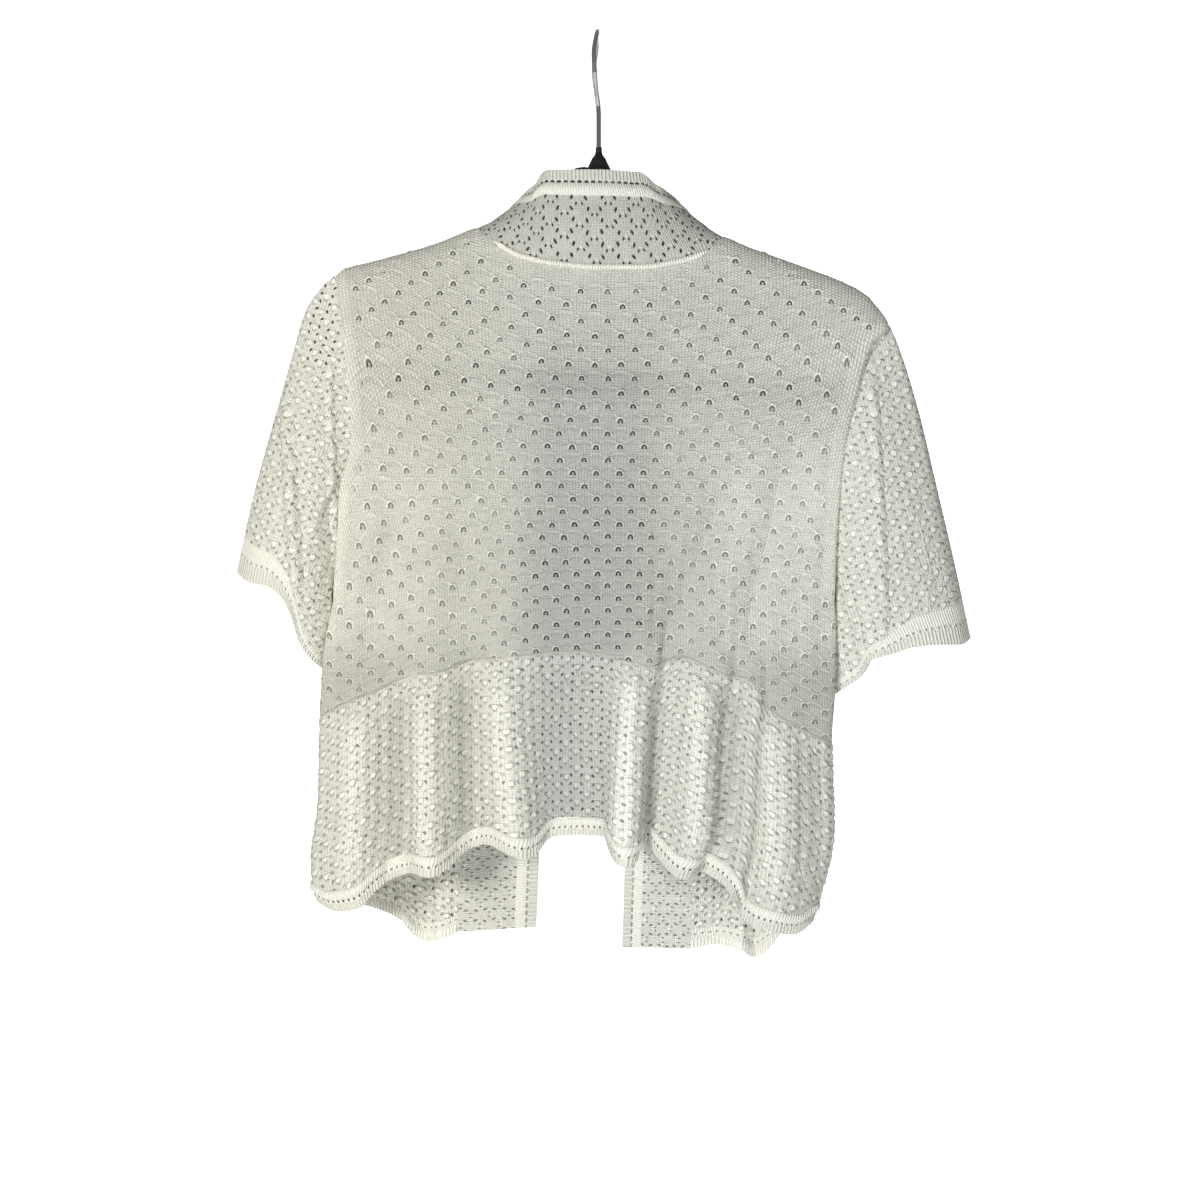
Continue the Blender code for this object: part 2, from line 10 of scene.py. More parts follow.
import bpy
import numpy as np
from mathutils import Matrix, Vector


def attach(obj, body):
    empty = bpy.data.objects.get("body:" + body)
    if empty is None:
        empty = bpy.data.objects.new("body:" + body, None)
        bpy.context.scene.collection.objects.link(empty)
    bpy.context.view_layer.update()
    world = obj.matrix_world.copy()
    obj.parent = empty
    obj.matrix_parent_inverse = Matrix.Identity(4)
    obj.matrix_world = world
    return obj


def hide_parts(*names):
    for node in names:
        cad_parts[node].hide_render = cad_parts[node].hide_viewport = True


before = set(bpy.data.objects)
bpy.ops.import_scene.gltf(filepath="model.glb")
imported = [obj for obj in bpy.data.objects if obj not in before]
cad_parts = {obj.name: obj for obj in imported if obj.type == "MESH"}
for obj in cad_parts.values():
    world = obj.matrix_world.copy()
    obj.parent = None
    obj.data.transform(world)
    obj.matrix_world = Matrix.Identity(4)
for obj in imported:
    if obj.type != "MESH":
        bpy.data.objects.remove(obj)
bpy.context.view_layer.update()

bl_info = {
    "name": "Knit Bolero",
    "version": (1, 0, 0),
    "blender": (4, 5, 0),
    "location": "3D View > Sidebar > Bolero",
    "description": "Builds an openwork knit bolero on its clothes hanger",
    "category": "Add Mesh",
}

MM = 0.001
WALL = 1.6
TIP_LEFT = -193.0
TIP_RIGHT = -232.8
UNDERARM = -452.0
ARMHOLE_DEPTH = 15.0
SHOULDER_ROLL = 22.0
NECK_LEFT = 0.257
NECK_RIGHT = 0.703
SIDE_POWER = 4.5
HEM_SHARE = 0.1
HEM_DEPTH = 15.0
CUFF_DEPTH = 20.0
CUFF_SHARE = CUFF_DEPTH / 170.0
LACE_SHARE = 0.72
SLEEVE_TUCK = 6.0
# The width of the back and of a front, and of the back's waist as its leaves are counted.
BACK_WIDE, FRONT_WIDE = 404.0, 112.0
LEAF_RUN = 408.0
# The stitches' units: width, then height of a whole unit of the half-drop lattice.
ARCH_WIDE, ARCH_TALL = 18.5, 21.0
FRONT_ARCH_WIDE = 17.5
LEAF_WIDE, LEAF_TALL = 15.8, 13.3
LACE_WIDE, LACE_TALL = 25.0, 15.5
FRONT_LACE_WIDE = 17.0
# The plain stitches between the eyelets: width of a wale, height of a course.
WALE_WIDE, COURSE_TALL = 2.26, 1.9
# The distance between the ribs of a band's free edge, and between the threads of its roll.
RIB_PITCH, COLLAR_RIB_PITCH = 3.0, 3.4
THREAD_PITCH = 2.3
TWIST_PITCH = 2.2
# The column of arches down the back's middle, how far from it the rows' lift is given, the share
# of that distance past which the lift stays even, and the height of the row that counts as 0.
ARCH_MIDDLE = 8.0
LIFT_REACH = 152.0
LIFT_LIMIT = 1.42
ROW_ZERO = -321.0

# Side edges of the body: height, x.
LEFT_EDGE = np.array((
    (-150, -210.0), (-193, -209.6), (-206, -206.4), (-239, -202.4), (-270, -198.4), (-317, -194.8),
    (-337, -196.0), (-358, -203.0), (-412, -207.2), (-452, -211.0), (-492, -218.4), (-542, -221.6),
    (-612, -223.2), (-660, -228.8), (-684, -226.0), (-701, -217.0),
))
RIGHT_EDGE = np.array((
    (-150, 232.0), (-233, 232.0), (-247, 218.5), (-270, 209.6), (-292, 204.0), (-317, 197.6),
    (-341, 193.6), (-363, 191.2), (-432, 188.0), (-483, 189.6), (-526, 188.8), (-564, 186.4),
    (-636, 188.0), (-654, 186.0), (-672, 182.0), (-695, 175.5), (-715, 170.0),
))
# Depth of the hanging tube: height, back, front.
DEPTHS = np.array((
    (-160, 15.0, 14.0), (-250, 18.0, 20.0), (-400, 22.0, 24.0), (-560, 26.0, 28.0),
    (-720, 30.0, 30.0),
))
# Top edge of the back, shoulder to shoulder: share across, height.
BACK_TOP = np.array((
    (0.0, -195.0), (0.02, -187.5), (0.06, -183.0), (0.116, -176.4), (0.152, -172.0), (0.19, -166.6),
    (0.225, -160.2), (0.257, -155.2), (0.270, -161.0), (0.292, -168.0), (0.333, -178.4),
    (0.406, -185.6), (0.478, -188.0), (0.551, -188.0), (0.623, -183.2), (0.680, -173.0),
    (0.703, -162.5), (0.732, -168.0), (0.75, -171.2), (0.804, -179.8), (0.859, -188.6),
    (0.913, -197.9), (0.949, -206.0), (0.967, -212.4), (0.985, -223.0), (1.0, -232.8),
))
# Fold lines of the back: share across at the waist, its height and fold depth there, then the
# share across at the hem, its height and fold depth there.
BACK_FOLDS = np.array((
    (0.000, -545.0, 0.0, 0.000, -690.0, 0.0), (0.030, -538.4, 0.0, 0.035, -697.0, -2.0),
    (0.072, -530.0, -1.0, 0.085, -694.0, -4.0), (0.121, -522.0, 1.0, 0.130, -680.0, 1.0),
    (0.153, -515.2, 3.0, 0.164, -671.0, 7.0), (0.182, -511.2, 1.0, 0.200, -666.5, 0.0),
    (0.231, -508.8, -3.0, 0.238, -668.5, -9.0), (0.266, -502.8, -1.0, 0.275, -660.0, -2.0),
    (0.297, -498.4, 3.0, 0.306, -648.5, 8.0), (0.325, -497.8, 1.0, 0.336, -644.4, 3.0),
    (0.370, -496.5, -2.0, 0.406, -653.6, -8.0), (0.400, -495.0, 0.0, 0.430, -652.0, -4.0),
    (0.452, -493.0, 2.0, 0.462, -638.4, 4.0), (0.501, -492.6, 2.0, 0.508, -637.2, 4.0),
    (0.546, -494.2, 1.0, 0.556, -638.0, 2.0), (0.582, -498.4, -2.0, 0.580, -651.5, -6.0),
    (0.610, -501.2, -4.0, 0.602, -660.0, -13.0), (0.645, -504.0, -5.0, 0.621, -656.0, -10.0),
    (0.668, -500.0, 2.0, 0.636, -642.5, 6.0), (0.700, -497.0, 1.0, 0.662, -653.0, -3.0),
    (0.755, -505.6, -4.0, 0.705, -668.0, -12.0), (0.780, -510.0, -3.0, 0.722, -669.6, -9.0),
    (0.802, -512.2, 3.0, 0.740, -663.6, 5.0), (0.826, -513.5, -1.0, 0.785, -671.8, -5.0),
    (0.845, -521.0, -3.0, 0.818, -684.0, -7.0), (0.862, -534.4, 2.0, 0.842, -700.0, 2.0),
    (0.885, -541.5, -1.0, 0.872, -708.0, -5.0), (0.916, -548.8, -4.0, 0.910, -711.4, -9.0),
    (0.955, -557.6, -2.0, 0.957, -714.8, -5.0), (1.000, -565.0, 0.0, 1.000, -706.0, 0.0),
))
# Long soft drags of the upper back: x and height at each end, half width, depth.
BACK_DRAGS = np.array((
    (55.0, -420.0, 135.0, -300.0, 26.0, -2.5), (95.0, -480.0, 160.0, -350.0, 20.0, 2.5),
    (-150.0, -490.0, -120.0, -330.0, 24.0, -2.5), (-100.0, -480.0, -60.0, -340.0, 22.0, 2.0),
    (60.0, -495.0, 80.0, -420.0, 14.0, -2.0), (-185.0, -500.0, -160.0, -380.0, 16.0, 2.0),
))
# Front panels, side to band: share across, waist height and fold depth, hem height and depth.
FRONT_LEFT_FOLDS = np.array((
    (0.00, -545.0, 0.0, -690.0, 0.0), (0.10, -550.0, -1.0, -698.0, -2.0),
    (0.28, -561.0, 3.0, -702.0, 5.0), (0.46, -568.0, -1.0, -707.0, -3.0),
    (0.56, -571.0, -2.0, -713.0, -5.0), (0.67, -575.0, 1.0, -727.0, 3.0),
    (0.76, -576.5, 3.0, -731.5, 7.0), (0.88, -577.5, -1.0, -728.0, -2.0),
    (1.00, -578.0, 0.0, -722.5, 0.0),
))
FRONT_RIGHT_FOLDS = np.array((
    (0.00, -565.0, 0.0, -706.0, 0.0), (0.12, -570.0, 2.0, -709.0, 3.0),
    (0.20, -572.5, -2.0, -719.0, -3.0), (0.32, -576.0, 0.0, -736.0, 0.0),
    (0.44, -578.0, 4.0, -745.0, 8.0), (0.57, -580.0, -2.0, -736.5, -4.0),
    (0.76, -583.0, 2.0, -733.5, 4.0), (1.00, -585.0, 0.0, -736.0, 0.0),
))
# Where the front band is sewn on: height, x of the left one, x of the right one.
BAND_SEAM = np.array((
    (-150, -96.0, 101.0), (-200, -95.0, 98.5), (-300, -99.0, 92.5), (-450, -104.0, 86.0),
    (-600, -110.0, 79.5), (-740, -115.5, 75.0),
))
# Free edge of the band from its seam, by distance from the middle of the back neck: x, y, z.
BAND_REACH = np.array((
    (-620, 64.0, 5.0, 3.0), (-300, 54.0, 8.0, 0.0), (-180, 47.0, 16.0, 2.0), (-135, 39.0, 30.0, 10.0),
    (-108, 31.0, 40.0, 26.0), (-92, 26.0, 31.0, 41.0), (-72, 18.0, 15.0, 54.5), (-42, 2.0, 6.0, 73.5),
    (0, -3.0, 4.0, 77.0), (40, -11.0, 7.0, 75.5), (72, -26.0, 14.0, 60.0), (92, -30.0, 30.0, 46.0),
    (108, -31.0, 40.0, 29.0), (135, -38.0, 30.0, 10.0), (180, -46.0, 16.0, 2.0), (300, -50.0, 8.0, 0.0),
    (620, -55.0, 5.0, 0.0),
))
# Sleeves, shoulder seam to cuff edge round the back: share round, cuff x, cuff height, cuff depth.
LEFT_CUFF = np.array((
    (0.00, -288.5, -430.0, 0.0), (0.06, -277.0, -438.0, 13.0), (0.14, -262.0, -441.0, 20.0),
    (0.22, -250.5, -449.0, 22.0), (0.30, -242.0, -466.0, 20.0), (0.38, -236.5, -486.0, 17.0),
    (0.45, -231.5, -500.0, 11.0), (0.50, -224.5, -508.0, 0.0),
))
RIGHT_CUFF = np.array((
    (0.00, 297.5, -483.0, 0.0), (0.06, 287.0, -487.5, 14.0), (0.14, 268.0, -487.5, 22.0),
    (0.22, 248.0, -489.5, 25.0), (0.30, 231.0, -495.0, 25.0), (0.37, 216.0, -500.0, 20.0),
    (0.41, 211.0, -513.0, 9.0), (0.46, 203.0, -521.0, 7.0), (0.50, 193.5, -529.0, 0.0),
))
# Outward bow of a sleeve's outer fold: share down, bow of the left one, bow of the right one.
SLEEVE_BOW = np.array((
    (0.0, 0.0, 0.0), (0.06, 7.5, 2.2), (0.15, 12.5, 4.0), (0.3, 11.0, 5.0), (0.5, 9.0, 4.0),
    (0.75, 6.0, 2.5), (1.0, 0.0, 0.0),
))
# Creases seen from behind: x and height at the top, at the bottom, half width, depth. A positive
# depth presses the cloth in and a negative one raises it. These run over the upper back.
UPPER_CREASES = np.array((
    (106.0, -366.0, 54.0, -496.0, 15.0, 5.5), (84.0, -372.0, 30.0, -496.0, 17.0, -5.0),
    (152.0, -350.0, 124.0, -490.0, 14.0, 4.5), (132.0, -352.0, 98.0, -484.0, 15.0, -4.0),
    (-150.0, -392.0, -178.0, -505.0, 9.0, 3.5), (-174.0, -370.0, -196.0, -500.0, 8.0, -3.0),
    (-124.0, -412.0, -142.0, -505.0, 10.0, -3.0), (-100.0, -410.0, -112.0, -500.0, 9.0, 2.6),
    (178.0, -340.0, 164.0, -500.0, 8.0, -2.4), (-60.0, -400.0, -70.0, -500.0, 12.0, -2.0),
))
# Creases of the lower back, from the waist seam down.
LOWER_CREASES = np.array((
    (50.0, -497.0, 36.0, -644.0, 4.6, 6.5), (106.0, -514.0, 101.0, -655.0, 8.0, 7.0),
    (-158.0, -524.0, -160.0, -665.0, 11.0, 7.0), (-110.0, -508.0, -104.0, -655.0, 12.0, 7.0),
    (-190.0, -535.0, -194.0, -670.0, 11.0, -6.0), (-138.0, -518.0, -135.0, -660.0, 10.0, -6.0),
    (-80.0, -500.0, -66.0, -650.0, 11.0, -6.5), (29.0, -494.0, 19.0, -655.0, 10.0, -9.0),
    (-30.0, -500.0, -26.0, -640.0, 22.0, 4.0), (81.0, -505.0, 77.0, -655.0, 10.0, -7.5),
    (138.0, -528.0, 138.0, -680.0, 12.0, -5.5), (167.0, -540.0, 168.0, -690.0, 9.0, 4.5),
))
# Creases of the sleeves seen from behind, laid out as those of the body.
SLEEVE_CREASES = np.array((
    (-247.0, -292.0, -236.0, -450.0, 6.0, 7.0), (-262.0, -330.0, -256.0, -440.0, 9.0, -2.0),
    (-213.0, -262.0, -208.0, -440.0, 5.0, 3.5), (-224.0, -280.0, -222.0, -470.0, 7.0, -2.5),
    (217.0, -270.0, 224.0, -486.0, 6.0, 5.0), (208.0, -300.0, 212.0, -505.0, 5.5, -3.0),
    (246.0, -330.0, 262.0, -480.0, 10.0, 2.0), (236.0, -300.0, 244.0, -480.0, 8.0, -2.0),
    (268.0, -400.0, 280.0, -470.0, 8.0, 1.6),
))


def smooth(x, places, values):
    """A curve through the rows that never swings past them (cubic, its slopes kept monotone)."""
    order = np.argsort(places)
    px, py = np.asarray(places, float)[order], np.asarray(values, float)[order]
    step = np.diff(px)
    rate = np.diff(py) / step
    slope = np.zeros(len(px))
    same = rate[:-1] * rate[1:] > 0
    mean = 2 * rate[:-1] * rate[1:] / np.where(same, rate[:-1] + rate[1:], 1)
    slope[1:-1] = np.where(same, mean, 0)
    slope[0], slope[-1] = rate[0], rate[-1]
    x = np.clip(np.asarray(x, float), px[0], px[-1])
    i = np.clip(np.searchsorted(px, x, side="right") - 1, 0, len(step) - 1)
    h = step[i]
    t = (x - px[i]) / h
    return (
        py[i] * (1 + 2 * t) * (1 - t) ** 2 + slope[i] * h * t * (1 - t) ** 2
        + py[i + 1] * t * t * (3 - 2 * t) + slope[i + 1] * h * t * t * (t - 1)
    )


def column(x, table, number):
    """A table's curve: its first column is the place, the numbered column the value there."""
    return smooth(x, table[:, 0], table[:, number])


def ease(t):
    """Three t squared less two t cubed, held to 0 and 1 outside."""
    t = np.clip(t, 0, 1)
    return t * t * (3 - 2 * t)


def bell(x, width):
    """A bell curve: e to the minus square of x over the width."""
    return np.exp(-((x / width) ** 2))


def rounded(t, power):
    """Rises from 0 to 1 as a quarter of a superellipse."""
    return (1 - (1 - np.clip(t, 0, 1)) ** power) ** (1 / power)


def armhole_depth(z, tip):
    """Half the armhole's opening at a height: a flattened sine from the shoulder to the underarm."""
    share = np.clip((tip - z) / (tip - UNDERARM), 0, 1)
    return ARMHOLE_DEPTH * np.sin(np.pi * share) ** 0.7


def shoulder_line(k):
    """Height of the shoulder roll across the back: the top edge, with a low sine arch at the neck."""
    share = (k - NECK_LEFT) / (NECK_RIGHT - NECK_LEFT)
    inside = (share > 0) & (share < 1)
    arch = -154.5 - 7.5 * share + 12 * np.sin(np.pi * np.clip(share, 0, 1))
    return np.where(inside, arch, column(k, BACK_TOP, 1))


def streaks(x, z, table):
    """Sum of soft troughs along straight lines: a bell across each line times a fade at its ends."""
    run_x, run_z = table[:, 2] - table[:, 0], table[:, 3] - table[:, 1]
    from_x, from_z = x[..., None] - table[:, 0], z[..., None] - table[:, 1]
    along = (from_x * run_x + from_z * run_z) / (run_x**2 + run_z**2)
    off = np.hypot(from_x - along * run_x, from_z - along * run_z)
    beyond = np.clip(np.abs(along - 0.5) - 0.3, 0, None) / 0.25
    return (np.exp(-((off / table[:, 4]) ** 2) - beyond**2) * table[:, 5]).sum(axis=-1)


def waist_line():
    """The waist seam's run across the back: its x and its height."""
    line = back(np.linspace(0, 1, 400), np.ones(400))
    return line[:, 0], line[:, 2]


def back_creases(x, z):
    """How far the creases press the back in: the upper ones die out under the waist seam."""
    waist = np.interp(x, *WAIST)
    upper = streaks(x, z, UPPER_CREASES) * (1 - 0.9 * ease((waist - z + 8.0) / 30.0))
    return upper + streaks(x, z, LOWER_CREASES) * ease((waist - z + 2.0) / 24.0)


def back(k, v):
    """The back: k is the share across at the waist, v is 0 at the top, 1 at the waist, 2 at the hem.

    Height runs along straight steps between the top, waist and hem curves. Depth is a superellipse
    from side to side, closed over the shoulder by a quarter circle, plus the fold curves, which
    grow softer above the waist.
    """
    top, waist = column(k, BACK_TOP, 1), column(k, BACK_FOLDS, 1)
    up, low = np.clip(v, 0, 1), np.clip(v - 1, 0, 1)
    z = top + (waist - top) * up + (column(k, BACK_FOLDS, 4) - waist) * low
    u = k + (column(k, BACK_FOLDS, 3) - k) * low
    left, right = column(z, LEFT_EDGE, 1), column(z, RIGHT_EDGE, 1)
    x = left + (right - left) * u
    edge = armhole_depth(z, np.where(u < 0.5, TIP_LEFT, TIP_RIGHT))
    round_side = rounded(1 - np.abs(2 * u - 1), SIDE_POWER)
    roll = rounded((shoulder_line(k) - z) / SHOULDER_ROLL, 2)
    depth = (edge + (column(z, DEPTHS, 1) - edge) * round_side) * roll
    at_waist, at_hem = column(k, BACK_FOLDS, 2), column(k, BACK_FOLDS, 5)
    soft = (column(k - 0.03, BACK_FOLDS, 2) + at_waist + column(k + 0.03, BACK_FOLDS, 2)) / 3
    near = ease((up - 0.88) / 0.12)
    fold = (soft + (at_waist - soft) * near) * ease((up - 0.45) / 0.55) ** 2 + (at_hem - at_waist) * low
    fold = fold + streaks(x, z, BACK_DRAGS)
    return np.stack((x, -depth + fold * round_side, z), axis=-1)


WAIST = waist_line()


def front(side, f, v):
    """A front: f is the share from side seam to band seam, v is 0 at the shoulder and 2 at the hem.

    It is made as the back is, with x running straight from the side edge to the band's seam.
    """
    table = FRONT_LEFT_FOLDS if side < 0 else FRONT_RIGHT_FOLDS
    neck = NECK_LEFT if side < 0 else NECK_RIGHT
    k = f * neck if side < 0 else 1 - f * (1 - neck)
    top, waist = column(k, BACK_TOP, 1), column(f, table, 1)
    up, low = np.clip(v, 0, 1), np.clip(v - 1, 0, 1)
    z = top + (waist - top) * up + (column(f, table, 3) - waist) * low
    outer = column(z, LEFT_EDGE if side < 0 else RIGHT_EDGE, 1)
    inner = column(z, BAND_SEAM, 1 if side < 0 else 2)
    x = outer + (inner - outer) * f
    edge = armhole_depth(z, TIP_LEFT if side < 0 else TIP_RIGHT)
    round_side = rounded(f * 1.6, SIDE_POWER)
    roll = rounded((top - z) / SHOULDER_ROLL, 2)
    depth = (edge + (column(z, DEPTHS, 2) - edge) * round_side) * roll
    at_waist, at_hem = column(f, table, 2), column(f, table, 4)
    fold = at_waist * ease((up - 0.3) / 0.7) + (at_hem - at_waist) * low
    return np.stack((x, depth + fold * round_side, z), axis=-1)


def sleeve(side, t, w):
    """A sleeve: t goes round it from the shoulder by the back, w is 0 at the armhole, 1 at the cuff.

    Straight lines join the armhole loop to the cuff loop, with the outer fold bowed outwards and
    each face swelled by a sine.
    """
    t, w = np.broadcast_arrays(np.asarray(t, float) % 1, np.asarray(w, float))
    half = np.where(t <= 0.5, t, 1 - t)
    face = np.where(t <= 0.5, -1.0, 1.0)
    tip = TIP_LEFT if side < 0 else TIP_RIGHT
    start_z = tip + (UNDERARM - tip) * (1 - np.cos(2 * np.pi * half)) / 2
    edge = column(start_z, LEFT_EDGE if side < 0 else RIGHT_EDGE, 1)
    start_x = edge + side * (0.75 + 2.0 * ease((half - 0.38) / 0.12))
    start_y = face * armhole_depth(start_z, tip)
    cuff = LEFT_CUFF if side < 0 else RIGHT_CUFF
    end_x = column(half, cuff, 1)
    end_y = face * column(half, cuff, 3)
    end_z = column(half, cuff, 2) + np.where(face > 0, 2.0, 0.0) * np.sin(2 * np.pi * half)
    bow = column(w, SLEEVE_BOW, 1 if side < 0 else 2) * (0.5 + 0.5 * np.cos(2 * np.pi * half)) ** 1.3
    belly = face * 9.0 * np.sin(np.pi * w) * np.sin(2 * np.pi * np.clip(half, 0, 0.5)) ** 0.8
    tuck = SLEEVE_TUCK * ease((half - 0.36) / 0.14) * ease(w / 0.25)
    x = start_x + (end_x - start_x) * w + side * (bow - tuck)
    y = start_y + (end_y - start_y) * w + belly
    z = start_z + (end_z - start_z) * w + 0.35 * bow
    return np.stack(np.broadcast_arrays(x, y, z), axis=-1)


def unit(vectors):
    """Each vector over its length."""
    return vectors / np.maximum(np.linalg.norm(vectors, axis=-1, keepdims=True), 1e-9)


def band_seam(count):
    """The seam of the band from the left front's hem, round the back neck, to the right one's."""
    down = np.linspace(2, 0, count) ** 1.15 * 2 ** -0.15
    neck = np.linspace(NECK_LEFT, NECK_RIGHT, count)
    line = np.concatenate((
        front(-1, np.ones(count), down)[:-1],
        back(neck, np.zeros(count))[:-1],
        front(1, np.ones(count), down[::-1]),
    ))
    run = np.concatenate(((0.0,), np.cumsum(np.linalg.norm(np.diff(line, axis=0), axis=1))))
    middle = run[count - 1] + (run[2 * count - 2] - run[count - 1]) / 2
    return line, run - middle


SEAM_LINE, SEAM_RUN = band_seam(61)


def band(s, c):
    """The band: s is the distance along its seam from the back neck's middle, c its share across.

    From the seam a straight reach runs to the free edge, bowed outwards by a sine at the neck.
    """
    s, c = np.broadcast_arrays(np.asarray(s, float), np.asarray(c, float))
    seam = np.stack([np.interp(s, SEAM_RUN, SEAM_LINE[:, i]) for i in range(3)], axis=-1)
    reach = np.stack([column(s, BAND_REACH, i) for i in (1, 2, 3)], axis=-1)
    behind = np.exp(-((s / 95.0) ** 4))
    bow = np.sin(np.pi * c) * (3.5 * behind)
    lift = 0.45 + 0.85 * np.exp(-(((np.abs(s) - 115.0) / 32.0) ** 2))
    point = seam + unit(reach) * lift[..., None] + reach * c[..., None]
    point[..., 1] -= bow + reach[..., 1] * (c - np.abs(c) ** 1.6) * behind
    return point


def nearest(c, r):
    """Place inside the nearest unit of a half-drop lattice, in units: right, down."""
    u, v = (c + 0.5) % 1 - 0.5, (r + 0.5) % 1 - 0.5
    far = np.abs(u) + np.abs(v) > 0.5
    return np.where(far, c % 1 - 0.5, u), np.where(far, r % 1 - 0.5, v)


def wobble(points):
    """Small uneven drift of the stitches, in units: sums of sines of the place."""
    x, z = points[..., 0], points[..., 2]
    across = np.sin(x / 6.1 + 1.7 * np.sin(z / 9.3)) + np.sin(z / 4.7 + 2.1 * np.sin(x / 11.9))
    down = np.sin(z / 5.3 + 1.9 * np.sin(x / 8.7)) + np.sin(x / 4.1 + 1.6 * np.sin(z / 12.7))
    return np.stack((across, down), -1)


def arch_relief(c, r):
    """Height of the arch stitch: a raised half ring round a pressed one, and soft scallops between."""
    u, v = nearest(c, r)
    x, y = u * ARCH_WIDE, -v * ARCH_TALL
    ring = np.hypot(x, y + 0.4)
    above = ease((y + 1.2) / 1.4)
    raised = (1.15 * bell(ring - 2.8, 0.8) - 0.7 * bell(ring - 1.4, 0.65)) * above
    rows, half = -r * ARCH_TALL, ARCH_TALL / 2
    even = (rows - 2.2 - 3.6 * np.abs(np.sin(np.pi * c)) + half) % ARCH_TALL - half
    odd = (rows - 2.2 - 3.6 * np.abs(np.cos(np.pi * c))) % ARCH_TALL - half
    scallop = np.maximum(bell(even, 1.6), bell(odd, 1.6))
    return raised + 0.2 * scallop


def leaf_relief(c, r, wide, tall):
    """Height of the leaf stitch: a leaf in each unit, full at its rounded foot, between eyelets."""
    u, v = nearest(c, r)
    x, y = u * wide, -v * tall
    size = wide / LEAF_WIDE
    full = (1.7 + 0.28 * np.clip(y + 2.6, 0, 5)) * size
    leaf = np.exp(-((x / full) ** 2)) * ease((y + 3.2) / 1.4) * (1 - ease((y + 0.2) / 4.6))
    outer = np.exp(-(((np.abs(x) - 0.26 * wide) / 1.1) ** 2) - (((y - 0.08 * tall) / 1.2) ** 2))
    return 1.3 * leaf - 0.7 * outer


def lace_relief(c, r, wide, tall):
    """Height of the band's lace: pressed eyelets, a large and a small pair to a unit, and a low V."""
    u, v = nearest(c, r)
    x, y = np.abs(u * wide), -v * tall
    outer = np.exp(-(((x - 0.23 * wide) / 1.3) ** 2) - (((y - 0.10 * tall) / 1.5) ** 2))
    inner = np.exp(-(((x - 0.095 * wide) / 1.0) ** 2) - (((y + 0.16 * tall) / 1.2) ** 2))
    ridge = bell(x - 0.16 * wide, 0.8) * bell(y + 0.04 * tall, 2.2)
    return 0.35 * ridge - 0.6 * outer - 0.4 * inner


